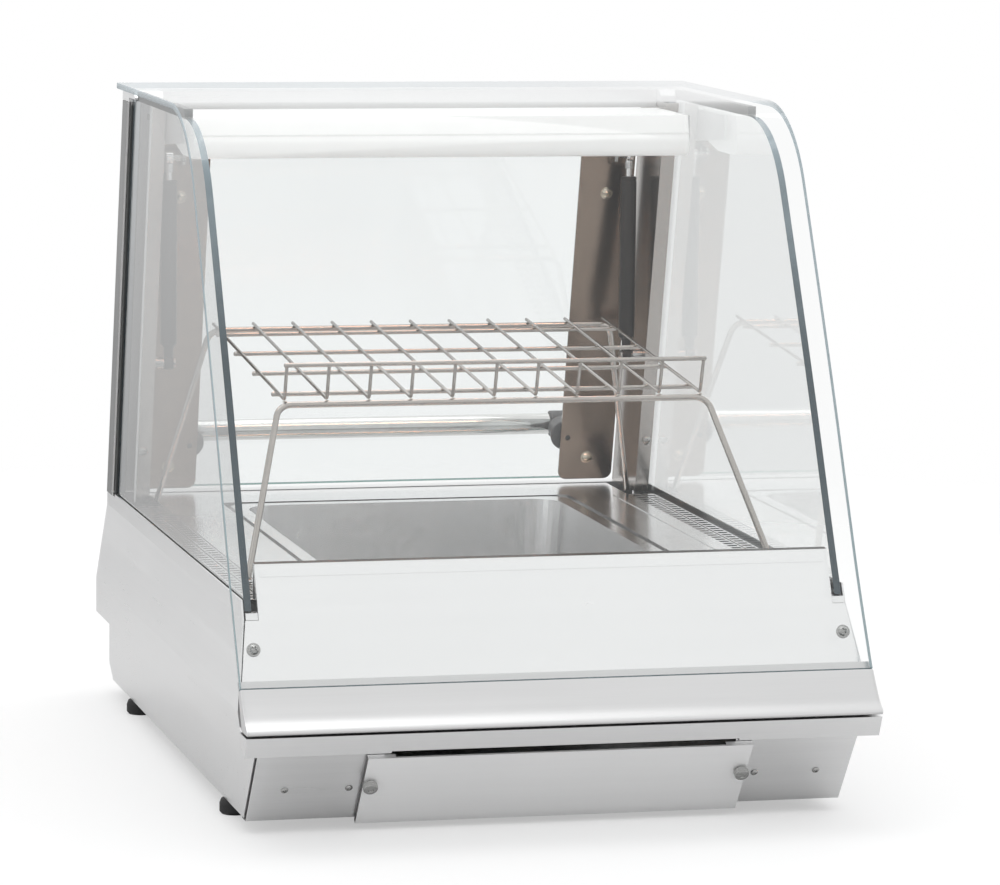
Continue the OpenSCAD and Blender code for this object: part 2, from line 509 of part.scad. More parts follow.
// half of a bent loop: top bar at p, leg running to foot f, corner radius r
module loop(p, f, r) {
  v = [0, f[1] - p[1], f[2] - p[2]];
  ly = norm(v); a = atan2(f[0] - p[0], ly);    // splay of the leg in its plane
  tilt = atan2(v[1], -v[2]);
  tn = r * tan((90 - a) / 2);
  translate([0, p[1], p[2]]) rotate([tilt, 0, 0]) {
    translate([-p[0] + tn - 0.3, 0, 0]) rotate([0, 90, 0]) cylinder(h = 2 * (p[0] - tn) + 0.6, d = loop_d, $fn = 24);
    both() {
      translate([p[0] - tn, 0, -r]) rotate([90, 0, 0]) rotate([0, 0, a])
        rotate_extrude(angle = 90 - a, $fn = 48) translate([r, 0]) circle(d = loop_d + 0.1, $fn = 24);
      rod([p[0] + sin(a) * (tn - 0.3), 0, -cos(a) * (tn - 0.3)], [f[0], 0, -ly], loop_d);
    }
  }
}
module shelf_front_loop() placed() color("silver") difference() {
  loop([191, -106, 330.9], [232.6, -181.5, dz - 2], 14);
  translate([-300, -300, dz - 20]) cube([600, 300, 20.6]);
}
module shelf_rear_loop() placed() color("silver") difference() {
  loop([190, 214, wz(214) - 4.3], [228.6, 281.5, dz - 2], 14);
  translate([-300, 100, dz - 20]) cube([600, 300, 20.6]);
}
module shelf_grid() placed() color("silver") {
  n = shelf_wires;
  // the wires stay separate solids, set a hair apart at the welds
  a = [-104, wz(-104)]; b = [-113.6, 366]; u = (b - a) / norm(b - a);
  for (i = [0 : n - 1]) let (x = -sh + i * shelf_w / (n - 1)) {
    rod([x, -105.2, wz(-105.2)], [x, 221, wz(221)], wire_d, 16);
    rod(concat([x], a + u * (wire_d / 2 + 0.4)), concat([x], b - u * 2.03), wire_d, 16);
  }
  rod([-sh - 2.5, -113.6, 366], [sh + 2.5, -113.6, 366], 4);
  for (y = [-67, 18, 103, 188])
    rod([-sh - 4, y, wz(y) - (wire_d / 2 + 2.04) / cos(5.2)], [sh + 4, y, wz(y) - (wire_d / 2 + 2.04) / cos(5.2)], 4);
}

// ---- base internals and operator controls ------------------------------------------
ctl_z = 142; ctl_x = 150; sw_x = [60, 96]; disp_x = -20;
gl_x = 215; gl_z = 78; fan_x = -150; fan_z = 70;
module fan_frame() placed() color("#202020") translate([fan_x, 337.2, fan_z]) rotate([-90, 0, 0]) difference() {
  translate([-40, -40, 0]) cube([80, 80, 25]);
  translate([0, 0, -1]) cylinder(h = 21, d = 76);
  difference() {
    translate([0, 0, 19]) cylinder(h = 8, d = 76);
    for (a = [0 : 90 : 359]) rotate([0, 0, a]) translate([0, -3, 20.5]) cube([40, 6, 4.5]);
    translate([0, 0, 20.5]) cylinder(h = 4.5, d = 32);
  }
  for (x = [-35.7, 35.7]) for (y = [-35.7, 35.7]) translate([x, y, -1]) cylinder(h = 30, d = 4.3);
  translate([0, 0, 15]) cylinder(h = 20, d = 4.1);
}
module fan_rotor() placed() color("#303030") translate([fan_x, 337.2, fan_z]) rotate([-90, 0, 0]) {
  translate([0, 0, 2]) cylinder(h = 16, d = 30);
  translate([0, 0, 17]) cylinder(h = 6, d = 4);
  for (a = [0 : 360 / 7 : 359]) rotate([0, 0, a]) translate([13, 0, 10]) rotate([35, 0, 0])
    translate([0, -9, -0.8]) cube([22.5, 18, 1.6]);
}
module thermostat() placed() color("tan") difference() {
  union() {
    translate([ctl_x - 21, 326, ctl_z - 17]) cube([42, 34, 34]);
    translate([ctl_x, 358, ctl_z]) rotate([-90, 0, 0]) cylinder(h = 6, d = 9.6);
    translate([ctl_x, 360, ctl_z]) rotate([-90, 0, 0]) cylinder(h = 17, d = 6);
  }
}
module thermostat_knob() placed() color("#1b1b1c") translate([ctl_x, 366.4, ctl_z]) rotate([-90, 0, 0]) difference() {
  union() {
    cylinder(h = 3, d = knob_d);
    translate([0, 0, 2.9]) cylinder(h = 13.2, d1 = knob_d * 0.82, d2 = knob_d * 0.72);
    translate([-3, -knob_d * 0.36, 2.9]) cube([6, knob_d * 0.72, 14]);
  }
  translate([0, 0, -1]) cylinder(h = 12.4, d = 6.1);
  translate([-0.6, -knob_d / 2 - 1, 2.2]) cube([1.2, 8, 2]);
}
// rocker switches: body and rocker are one group each side of the pivot
module rocker_body(x) translate([x, 0, ctl_z]) difference() {
  union() {
    translate([-11, 345, -14]) cube([22, 21, 28]);
    translate([-12.5, 365.9, -15.5]) cube([25, 2, 31]);
  }
  translate([-9.5, 356, -12.5]) cube([19, 14, 25]);
}
module heat_switch() placed() color("#222222") rocker(sw_x[1]);
module lamp_switch() placed() color("#222222") rocker(sw_x[0]);
module rocker(x) translate([x, 362.5, ctl_z]) difference() {
  rotate([-8, 0, 0]) rotate([90, 0, 90]) translate([0, 0, -9]) linear_extrude(18)
    polygon([[6.4, -10.6], [4.2, 0], [6.4, 10.6], [1, 10.6], [-4, 5], [-4, -5], [1, -10.6]]);
  translate([-10, 0, 0]) rotate([0, 90, 0]) cylinder(h = 20, d = 3.05);
}
// fixed fittings on the operator side: switch bodies, display, gland, pilot lamp
module rear_fittings() placed() color("#26282a") {
  for (x = sw_x) {
    rocker_body(x);
    translate([x - 9.9, 362.5, ctl_z]) rotate([0, 90, 0]) cylinder(h = 19.8, d = 3);
  }
  difference() {
    union() {
      translate([disp_x - 35.5, 330, ctl_z - 14]) cube([71, 36, 28]);
      translate([disp_x - 38.5, 365.9, ctl_z - 17]) cube([77, 3, 34]);
    }
    translate([disp_x - 30, 367.6, ctl_z - 10]) cube([42, 3, 20]);
  }
  translate([gl_x, 0, gl_z]) {
    translate([0, 352, 0]) rotate([-90, 0, 0]) difference() { cylinder(h = 20, d = 20); translate([0, 0, -1]) cylinder(h = 30, d = 9); }
    translate([0, 365.9, 0]) rotate([-90, 0, 0]) difference() { cylinder(h = 5, d = 27, $fn = 6); translate([0, 0, -1]) cylinder(h = 30, d = 19.9); }
  }
  translate([ctl_x + 46, 352, ctl_z]) rotate([-90, 0, 0]) cylinder(h = 16.6, d = 8);
}

base_tray();
rubber_feet();
front_panel_left();
front_panel_right();
plinth_screws();
service_panel();
thumb_screw_left();
thumb_screw_right();
side_panel_left();
side_panel_right();
front_lip();
bullnose();
front_panel();
deck_plate();
air_grille_left();
air_grille_right();
well_tank();
gn_pan();
heating_element();
element_clips();
front_glass();
side_glass_left();
side_glass_right();
glass_gaskets();
glass_clamps();
clamp_screws();
rear_post_left();
rear_post_right();
post_caps();
post_screws();
top_rail();
rear_sill();
rear_panel();
lamp_housing();
lamp_end_caps();
lamp_reflector();
heat_lamp();
lamp_brackets();
hinge_pins();
flap_pane();
flap_stile_left();
flap_stile_right();
flap_screws();
flap_handle();
handle_mounts();
strut_studs();
strut_tube_left();
strut_tube_right();
strut_rod_left();
strut_rod_right();
shelf_front_loop();
shelf_rear_loop();
shelf_grid();
fan_frame();
fan_rotor();
thermostat();
thermostat_knob();
heat_switch();
lamp_switch();
rear_fittings();
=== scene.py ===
"""Looks of the hot food display case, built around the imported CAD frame."""

import math

import bmesh
import bpy
import numpy as np
from mathutils import Matrix, Vector


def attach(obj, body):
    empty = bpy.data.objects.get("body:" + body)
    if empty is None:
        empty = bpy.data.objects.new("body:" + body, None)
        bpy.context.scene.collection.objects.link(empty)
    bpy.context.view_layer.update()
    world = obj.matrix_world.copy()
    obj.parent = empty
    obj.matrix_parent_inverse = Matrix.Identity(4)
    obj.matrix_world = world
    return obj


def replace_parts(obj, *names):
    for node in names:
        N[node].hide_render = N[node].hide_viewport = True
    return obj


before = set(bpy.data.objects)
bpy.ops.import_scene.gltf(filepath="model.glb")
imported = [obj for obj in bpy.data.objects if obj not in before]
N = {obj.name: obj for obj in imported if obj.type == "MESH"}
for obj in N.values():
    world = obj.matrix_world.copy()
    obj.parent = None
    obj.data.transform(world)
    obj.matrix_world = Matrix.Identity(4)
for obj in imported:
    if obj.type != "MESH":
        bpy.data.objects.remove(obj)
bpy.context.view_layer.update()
SC = bpy.context.scene

# ------------------------------------------------------------------ basics
# Design coordinates are the millimetres of the CAD source; SH centres the box.
SH = 10.0


def P(x, y, z):
    return Vector((x, y - SH, z)) * 0.001


def link(o):
    SC.collection.objects.link(o)
    return o


# ------------------------------------------------------------------ node helpers
class NT:
    def __init__(self, name):
        self.m = bpy.data.materials.new(name)
        self.m.use_nodes = True
        self.t = self.m.node_tree
        self.t.nodes.clear()
        self.out = self.n("ShaderNodeOutputMaterial")

    def n(self, kind, **kw):
        x = self.t.nodes.new(kind)
        for k, v in kw.items():
            if k.startswith("i_"):
                key = k[2:]
                key = int(key) if key.isdigit() else key.replace("_", " ")
                x.inputs[key].default_value = v
            else:
                setattr(x, k, v)
        return x

    def l(self, a, b):
        self.t.links.new(a, b)

    def coords(self, scale=(1, 1, 1), rot=(0, 0, 0)):
        tc = self.n("ShaderNodeTexCoord")
        mp = self.n("ShaderNodeMapping")
        mp.inputs["Scale"].default_value = scale
        mp.inputs["Rotation"].default_value = rot
        self.l(tc.outputs["Object"], mp.inputs["Vector"])
        return mp.outputs["Vector"]

    def noise(self, vec, scale=1.0, detail=3.0, rough=0.55, dist=0.0):
        x = self.n("ShaderNodeTexNoise")
        x.inputs["Scale"].default_value = scale
        x.inputs["Detail"].default_value = detail
        x.inputs["Roughness"].default_value = rough
        x.inputs["Distortion"].default_value = dist
        self.l(vec, x.inputs["Vector"])
        return x.outputs["Fac"]

    def ramp(self, fac, stops, mode="LINEAR"):
        x = self.n("ShaderNodeValToRGB")
        x.color_ramp.interpolation = mode
        els = x.color_ramp.elements
        while len(els) > 1:
            els.remove(els[-1])
        els[0].position = stops[0][0]
        els[0].color = stops[0][1]
        for p, c in stops[1:]:
            e = els.new(p)
            e.color = c
        self.l(fac, x.inputs["Fac"])
        return x.outputs["Color"]

    def rng(self, fac, a, b, lo, hi):
        x = self.n("ShaderNodeMapRange")
        x.inputs["From Min"].default_value = a
        x.inputs["From Max"].default_value = b
        x.inputs["To Min"].default_value = lo
        x.inputs["To Max"].default_value = hi
        self.l(fac, x.inputs["Value"])
        return x.outputs["Result"]

    def math(self, op, a, b=None, clamp=False):
        x = self.n("ShaderNodeMath", operation=op, use_clamp=clamp)
        for i, v in enumerate((a, b)):
            if v is None:
                continue
            if isinstance(v, (int, float)):
                x.inputs[i].default_value = v
            else:
                self.l(v, x.inputs[i])
        return x.outputs[0]

    def mixrgb(self, fac, a, b, blend="MIX"):
        x = self.n("ShaderNodeMix", data_type="RGBA", blend_type=blend)
        for key, v in (("Factor", fac), ("A", a), ("B", b)):
            sock = [s for s in x.inputs if s.name == key and s.enabled][0]
            if isinstance(v, (int, float)):
                sock.default_value = v
            elif isinstance(v, tuple):
                sock.default_value = v
            else:
                self.l(v, sock)
        return [s for s in x.outputs if s.enabled][0]

    def bump(self, height, strength=0.1, dist=0.001, normal=None):
        x = self.n("ShaderNodeBump")
        x.inputs["Strength"].default_value = strength
        x.inputs["Distance"].default_value = dist
        self.l(height, x.inputs["Height"])
        if normal is not None:
            self.l(normal, x.inputs["Normal"])
        return x.outputs["Normal"]


def g(v, a=1.0):
    return (v, v, v, a)


def rgb(r, gg, b, a=1.0):
    return (r, gg, b, a)


# ------------------------------------------------------------------ materials
def brushed(name, base, rough, grain="X", tint=(1.0, 1.0, 1.0), var=0.04, aniso=0.35, bump=0.10, wear=0.10, lean=0.0, metal=1.0, hollow=0.0, fold=None):
    """Satin stainless: fine drawn grain along one axis, faint clouding, soft handling marks and brighter worn edges."""
    t = NT(name)
    s = {"X": (9, 900, 900), "Y": (900, 9, 900), "Z": (900, 900, 9)}[grain]
    v = t.coords(s, (lean, 0, 0))
    fine = t.noise(v, 1.0, 4, 0.7)
    v2 = t.coords(tuple(x * 0.12 for x in s), (lean, 0, 0))
    streak = t.noise(v2, 1.0, 2, 0.5)
    cloud = t.noise(t.coords((1, 1, 1)), 7.0, 3, 0.55, 0.4)
    smudge = t.noise(t.coords((1, 1, 1)), 26.0, 4, 0.6, 0.8)
    mixed = t.math("ADD", t.math("MULTIPLY", fine, 0.45), t.math("ADD", t.math("MULTIPLY", streak, 0.25), t.math("MULTIPLY", cloud, 0.30)))
    lo = base * (1 - var)
    hi = min(1.0, base * (1 + var))
    col = t.ramp(mixed, [(0.30, rgb(lo * tint[0], lo * tint[1], lo * tint[2])), (0.70, rgb(hi * tint[0], hi * tint[1], hi * tint[2]))])
    geo = t.n("ShaderNodeNewGeometry")
    edge = t.rng(geo.outputs["Pointiness"], 0.515, 0.60, 0.0, wear)
    col = t.mixrgb(edge, col, rgb(min(1, hi * 1.08), min(1, hi * 1.08), min(1, hi * 1.08)))
    r = t.rng(mixed, 0.30, 0.70, rough - 0.05, rough + 0.06)
    r = t.math("ADD", r, t.rng(smudge, 0.62, 0.80, 0.0, 0.05), clamp=True)
    b = t.n("ShaderNodeBsdfPrincipled")
    b.inputs["Metallic"].default_value = metal
    b.inputs["Anisotropic"].default_value = aniso
    b.inputs["Specular IOR Level"].default_value = 0.5
    t.l(col, b.inputs["Base Color"])
    t.l(r, b.inputs["Roughness"])
    t.l(t.bump(mixed, bump, 0.0002), b.inputs["Normal"])
    if fold:
        # painted shade: faces turned a given way get one flat colour instead of the metal's; dark on the front panel
        # top, the grille slots and the plinth and service panel backs, plain grey on the stile faces turned away from
        # the interior
        axis, sign, limit, shade = fold
        nf = t.n("ShaderNodeSeparateXYZ")
        t.l(geo.outputs["Normal"], nf.inputs[0])
        comp = t.math("MULTIPLY", nf.outputs[axis], sign)
        fm = t.math("GREATER_THAN", comp, limit)
        t.l(t.mixrgb(fm, col, rgb(shade, shade, shade)), b.inputs["Base Color"])
    if hollow:
        # painted light: the outer hollow of the folded post and its front flange get a pale matte colour that stands in
        # for light there, and the outer strip beyond the glass gets a dark painted shade
        sep = t.n("ShaderNodeSeparateXYZ")
        t.l(geo.outputs["Position"], sep.inputs[0])
        nsep = t.n("ShaderNodeSeparateXYZ")
        t.l(geo.outputs["Normal"], nsep.inputs[0])
        ax = t.math("ABSOLUTE", sep.outputs["X"], 0.0)
        outward = t.math("GREATER_THAN", t.math("MULTIPLY", sep.outputs["X"], nsep.outputs["X"]), hollow - 0.0012)
        deep = t.math("ADD", sep.outputs["Y"], t.math("MULTIPLY", t.math("SUBTRACT", sep.outputs["Z"], 0.199), 0.2217))
        behind = t.math("GREATER_THAN", deep, 0.2900)
        ahead = t.math("LESS_THAN", nsep.outputs["Y"], -0.5)
        flange = t.math("MULTIPLY", t.math("MULTIPLY", behind, ahead), t.math("GREATER_THAN", ax, 0.2362))
        m = t.math("MAXIMUM", t.math("MULTIPLY", outward, t.math("LESS_THAN", ax, 0.2600)), flange)
        rim = t.math("MULTIPLY", outward, t.math("GREATER_THAN", ax, 0.2600))
        t.l(t.mixrgb(rim, col, rgb(0.15, 0.15, 0.15)), b.inputs["Base Color"])
        d = t.n("ShaderNodeBsdfPrincipled")
        t.l(t.ramp(mixed, [(0.3, rgb(0.76, 0.76, 0.755)), (0.7, rgb(0.82, 0.82, 0.815))]), d.inputs["Base Color"])
        d.inputs["Roughness"].default_value = 0.6
        mx = t.n("ShaderNodeMixShader")
        t.l(m, mx.inputs[0])
        t.l(b.outputs[0], mx.inputs[1])
        t.l(d.outputs[0], mx.inputs[2])
        t.l(mx.outputs[0], t.out.inputs["Surface"])
    else:
        t.l(b.outputs[0], t.out.inputs["Surface"])
    return t.m


def plastic(name, col, rough=0.45, grain=900.0, bump=0.12, var=0.15, metallic=0.0, coat=0.0, dust=0.05, glow=0.0, pale_above=None):
    """Moulded plastic, rubber or enamel: fine texture, slight mottling and pale scuffed edges."""
    t = NT(name)
    fine = t.noise(t.coords((1, 1, 1)), grain, 3, 0.6)
    cloud = t.noise(t.coords((1, 1, 1)), 24.0, 3, 0.55, 0.3)
    c = t.ramp(cloud, [(0.30, rgb(*[x * (1 - var) for x in col])), (0.72, rgb(*[min(1, x * (1 + var)) for x in col]))])
    geo = t.n("ShaderNodeNewGeometry")
    edge = t.rng(geo.outputs["Pointiness"], 0.52, 0.62, 0.0, dust)
    c = t.mixrgb(edge, c, rgb(0.55, 0.55, 0.54))
    if pale_above:
        # above the given height the colour turns from black to grey
        sp = t.n("ShaderNodeSeparateXYZ")
        t.l(geo.outputs["Position"], sp.inputs[0])
        c = t.mixrgb(t.rng(sp.outputs["Z"], pale_above, pale_above + 0.004, 0.0, 1.0), c, rgb(0.34, 0.34, 0.34))
    b = t.n("ShaderNodeBsdfPrincipled")
    b.inputs["Metallic"].default_value = metallic
    b.inputs["Coat Weight"].default_value = coat
    b.inputs["Coat Roughness"].default_value = 0.12
    t.l(c, b.inputs["Base Color"])
    # painted light: the part glows in its own colour though it is no lamp
    if glow:
        t.l(c, b.inputs["Emission Color"])
        b.inputs["Emission Strength"].default_value = glow
    t.l(t.rng(fine, 0.3, 0.7, rough - 0.05, rough + 0.06), b.inputs["Roughness"])
    t.l(t.bump(fine, bump, 0.00015), b.inputs["Normal"])
    t.l(b.outputs[0], t.out.inputs["Surface"])
    return t.m


def polished(name, base, rough=0.10, tint=(1, 1, 1), scratch=0.06, var=0.04):
    """Polished or plated metal with hairline wipes and slight unevenness."""
    t = NT(name)
    n1 = t.noise(t.coords((40, 500, 500)), 1.0, 3, 0.6)
    n2 = t.noise(t.coords((1, 1, 1)), 60.0, 3, 0.55, 0.5)
    m = t.math("ADD", t.math("MULTIPLY", n1, 0.5), t.math("MULTIPLY", n2, 0.5))
    lo, hi = base * (1 - var), min(1, base * (1 + var))
    c = t.ramp(m, [(0.3, rgb(lo * tint[0], lo * tint[1], lo * tint[2])), (0.7, rgb(hi * tint[0], hi * tint[1], hi * tint[2]))])
    b = t.n("ShaderNodeBsdfPrincipled")
    b.inputs["Metallic"].default_value = 1.0
    t.l(c, b.inputs["Base Color"])
    t.l(t.rng(m, 0.3, 0.7, max(0.02, rough - 0.04), rough + 0.05), b.inputs["Roughness"])
    t.l(t.bump(n1, scratch, 0.0001), b.inputs["Normal"])
    t.l(b.outputs[0], t.out.inputs["Surface"])
    return t.m


def clear_glass(name, tint=(0.965, 0.985, 0.98), f0=0.075, film=0.0, gloss=0.02, power=4.2):
    """Clear sheet: straight see-through, a mirror that grows at grazing angles and a trace of wiping film."""
    t = NT(name)
    lw = t.n("ShaderNodeLayerWeight")
    lw.inputs["Blend"].default_value = 0.5
    fres = t.math("ADD", t.math("MULTIPLY", t.math("POWER", lw.outputs["Facing"], power), 0.90), f0)
    wipe = t.noise(t.coords((3, 3, 3)), 4.0, 4, 0.6, 1.0)
    fac = t.math("ADD", fres, t.rng(wipe, 0.45, 0.85, film * 0.4, film), clamp=True)
    geo = t.n("ShaderNodeNewGeometry")
    front = t.math("SUBTRACT", 1.0, geo.outputs["Backfacing"])
    fac = t.math("MULTIPLY", fac, front, clamp=True)
    tr = t.n("ShaderNodeBsdfTransparent")
    tr.inputs["Color"].default_value = rgb(*tint)
    gl = t.n("ShaderNodeBsdfPrincipled")
    gl.inputs["Metallic"].default_value = 1.0
    gl.inputs["Base Color"].default_value = rgb(0.975, 0.982, 0.982)
    t.l(t.rng(wipe, 0.35, 0.75, gloss, gloss + 0.03), gl.inputs["Roughness"])
    mx = t.n("ShaderNodeMixShader")
    t.l(fac, mx.inputs[0])
    t.l(tr.outputs[0], mx.inputs[1])
    t.l(gl.outputs[0], mx.inputs[2])
    t.l(mx.outputs[0], t.out.inputs["Surface"])
    return t.m


def glass_edge(name, low, high, z0, z1, rough=0.12, see=0.25):
    """Ground and polished glass edge in the glass's body colour, painted darker low down and paler towards the top as
    painted shade and light.
    """
    t = NT(name)
    tc = t.n("ShaderNodeTexCoord")
    sep = t.n("ShaderNodeSeparateXYZ")
    t.l(tc.outputs["Object"], sep.inputs[0])
    n = t.noise(t.coords((6, 6, 6)), 3.0, 3, 0.5, 0.6)
    n2 = t.noise(t.coords((1, 1, 1)), 700.0, 3, 0.6)
    h = t.math("ADD", t.rng(sep.outputs["Z"], z0, z1, 0.0, 1.0), t.rng(n, 0.3, 0.7, -0.12, 0.12), clamp=True)
    c = t.ramp(h, [(0.0, rgb(*low)), (1.0, rgb(*high))], "EASE")
    b = t.n("ShaderNodeBsdfPrincipled")
    b.inputs["Coat Weight"].default_value = 0.6
    b.inputs["Coat Roughness"].default_value = 0.05
    t.l(c, b.inputs["Base Color"])
    t.l(t.rng(n2, 0.3, 0.7, rough - 0.04, rough + 0.06), b.inputs["Roughness"])
    t.l(t.bump(n2, 0.05, 0.0001), b.inputs["Normal"])
    if see:
        tr = t.n("ShaderNodeBsdfTransparent")
        tr.inputs["Color"].default_value = rgb(*high)
        mx = t.n("ShaderNodeMixShader")
        mx.inputs[0].default_value = 1 - see
        t.l(tr.outputs[0], mx.inputs[1])
        t.l(b.outputs[0], mx.inputs[2])
        t.l(mx.outputs[0], t.out.inputs["Surface"])
    else:
        t.l(b.outputs[0], t.out.inputs["Surface"])
    return t.m


M = {}
M["panel"] = brushed("stainless_panel", 0.80, 0.30, "X", aniso=0.3)
M["panel_y"] = brushed("stainless_panel_y", 0.80, 0.30, "Y", aniso=0.3)
M["deck"] = brushed("stainless_deck", 0.74, 0.20, "Y", aniso=0.3, bump=0.06)
M["bright"] = brushed("stainless_bright", 0.86, 0.22, "X", var=0.03, bump=0.06)
# painted reflection: the upward faces of the front panel top are near black, standing in for the dark interior they
# mirror
M["fold"] = brushed("stainless_front_panel", 0.90, 0.22, "X", var=0.03, bump=0.06, fold=("Z", 1.0, 0.80, 0.07))
# painted shade: grille faces not turned upwards, the slot walls and underside, are near black
M["grille"] = brushed("stainless_grille", 0.72, 0.24, "Y", aniso=0.3, bump=0.06, fold=("Z", -1.0, -0.55, 0.03))
# painted reflection: stile faces toward the interior are a dark warm brown standing in for what they reflect; faces
# turned other ways are plain grey 0.56
M["post"] = brushed("stainless_post", 0.32, 0.20, "Z", tint=(1.0, 0.76, 0.60), var=0.12, bump=0.08, fold=("Y", 1.0, -0.5, 0.56))
M["frame_post"] = brushed("stainless_frame_post", 0.56, 0.20, "Z", tint=(1.0, 0.94, 0.89), var=0.08, bump=0.08, hollow=0.2356)
M["wire"] = polished("stainless_wire", 0.50, 0.18, (1.0, 0.945, 0.89), 0.10)
M["tube"] = polished("polished_tube", 0.78, 0.14, (1.0, 0.985, 0.965), 0.05)
M["alu"] = brushed("satin_aluminium", 0.90, 0.36, "X", var=0.03, aniso=0.2, bump=0.08)
M["bull"] = brushed("anodised_nose", 0.68, 0.34, "X", var=0.03, aniso=0.2, bump=0.08)
M["lip"] = brushed("satin_lip", 0.80, 0.30, "X", var=0.04, aniso=0.2, bump=0.08)
# painted shade: plinth and service panel faces not turned to the front are dark
M["plinth"] = brushed("satin_plinth", 0.92, 0.30, "X", var=0.05, aniso=0.3, bump=0.10, fold=("Y", 1.0, -0.5, 0.10))
M["service"] = brushed("satin_service_panel", 0.99, 0.34, "X", var=0.04, aniso=0.2, bump=0.10, metal=0.42, fold=("Y", 1.0, -0.5, 0.10))
M["white"] = plastic("white_enamel", (0.93, 0.93, 0.92), 0.30, 500.0, 0.05, 0.02, coat=0.3, dust=0.0)
# painted light: the canopy glows faintly though it is no lamp
M["canopy"] = plastic("white_canopy", (0.94, 0.94, 0.93), 0.30, 500.0, 0.05, 0.02, coat=0.3, dust=0.0, glow=0.22)
M["rubber"] = plastic("black_rubber", (0.022, 0.022, 0.023), 0.72, 700.0, 0.25, 0.2)
M["seal"] = plastic("black_seal", (0.030, 0.032, 0.034), 0.55, 900.0, 0.15, 0.2, dust=0.02, pale_above=0.564)
M["black"] = plastic("black_plastic", (0.030, 0.030, 0.032), 0.42, 1100.0, 0.18)
M["dark"] = plastic("dark_plastic", (0.085, 0.083, 0.085), 0.42, 900.0, 0.15)
M["strut"] = plastic("strut_black", (0.012, 0.011, 0.011), 0.34, 1400.0, 0.05, 0.1, coat=0.0, dust=0.0)
M["screw"] = polished("zinc_screw", 0.44, 0.26, (1.0, 1.0, 0.98), 0.10, 0.08)
M["element"] = plastic("element_sheath", (0.16, 0.13, 0.11), 0.6, 400.0, 0.3, 0.3, metallic=0.7)
M["phenolic"] = plastic("phenolic", (0.50, 0.40, 0.28), 0.5, 500.0, 0.2)
M["glass"] = clear_glass("clear_glass", (0.976, 0.979, 0.978), 0.042, 0.015, 0.015, 4.8)
# painted shade: the left pane's copy of the side glass lets a little less light through and mirrors more than the right
# pane's
M["glass_side"] = clear_glass("clear_glass_side", (0.94, 0.946, 0.946), 0.06, 0.02, 0.02, 2.9)
M["glass_side_b"] = clear_glass("clear_glass_side_b", (0.95, 0.955, 0.955), 0.06, 0.02, 0.02, 4.2)
M["pane"] = clear_glass("clear_pane", (0.965, 0.975, 0.975), 0.07, 0.01)
# painted shade and light: the same glass edge is dark on the side panes and pale on the front glass
M["edge_dark"] = glass_edge("side_glass_edge", (0.030, 0.056, 0.072), (0.30, 0.37, 0.41), 0.36, 0.58, 0.14, 0.0)
M["edge_light"] = glass_edge("front_glass_edge", (0.30, 0.40, 0.42), (0.42, 0.50, 0.54), 0.15, 0.56, 0.12, 0.25)
M["edge_green"] = glass_edge("glass_edge_green", (0.05, 0.20, 0.18), (0.16, 0.34, 0.31), 0.2, 0.55, 0.12, 0.15)
M["weld"] = polished("weld_metal", 0.50, 0.32, (1.0, 0.94, 0.86), 0.15, 0.12)
M["brass_screw"] = polished("passivated_screw", 0.70, 0.22, (1.0, 0.93, 0.78), 0.10, 0.08)
M["chrome"] = polished("hard_chrome", 0.86, 0.06, (1.0, 1.0, 1.0), 0.02, 0.02)


def lamp_mat():
    t = NT("quartz_lamp")
    n = t.noise(t.coords((1, 1, 1)), 90.0, 3, 0.5)
    c = t.ramp(n, [(0.3, rgb(1.0, 0.50, 0.34)), (0.7, rgb(1.0, 0.62, 0.44))])
    b = t.n("ShaderNodeBsdfPrincipled")
    t.l(c, b.inputs["Base Color"])
    t.l(c, b.inputs["Emission Color"])
    b.inputs["Emission Strength"].default_value = 9.0
    b.inputs["Roughness"].default_value = 0.35
    t.l(b.outputs[0], t.out.inputs["Surface"])
    return t.m


M["lamp"] = lamp_mat()


def paint(obj, mat):
    obj.data.materials.clear()
    obj.data.materials.append(mat)


CAD_MATS = {
    "base_tray": "panel", "front_panel_left": "plinth", "front_panel_right": "plinth", "service_panel": "service",
    "side_panel_left": "panel_y", "side_panel_right": "panel_y", "rear_panel": "panel", "rear_sill": "panel",
    "deck_plate": "deck", "well_tank": "deck", "gn_pan": "deck", "air_grille_left": "grille", "air_grille_right": "grille",
    "rear_post_left": "frame_post", "rear_post_right": "frame_post", "flap_stile_left": "post", "flap_stile_right": "post",
    "lamp_brackets": "panel", "top_rail": "panel", "front_panel": "fold", "glass_clamps": "bright",
    "lamp_reflector": "bright", "shelf_front_loop": "wire", "shelf_rear_loop": "wire", "shelf_grid": "wire",
    "flap_handle": "tube", "strut_rod_left": "tube", "strut_rod_right": "tube", "bullnose": "bull", "front_lip": "lip",
    "post_caps": "alu", "lamp_housing": "white", "lamp_end_caps": "white", "front_glass": "glass",
    "side_glass_left": "glass", "side_glass_right": "glass", "flap_pane": "pane", "heat_lamp": "lamp",
    "rubber_feet": "rubber", "glass_gaskets": "seal", "thermostat_knob": "black", "heat_switch": "black",
    "lamp_switch": "black", "rear_fittings": "black", "fan_frame": "black", "fan_rotor": "black",
    "handle_mounts": "dark", "strut_tube_left": "strut", "strut_tube_right": "strut", "plinth_screws": "screw",
    "clamp_screws": "screw", "post_screws": "screw", "flap_screws": "screw", "thumb_screw_left": "screw",
    "thumb_screw_right": "screw", "hinge_pins": "screw", "strut_studs": "screw", "heating_element": "element",
    "element_clips": "element", "thermostat": "phenolic",
}
for k, o in N.items():
    paint(o, M[CAD_MATS[k]])

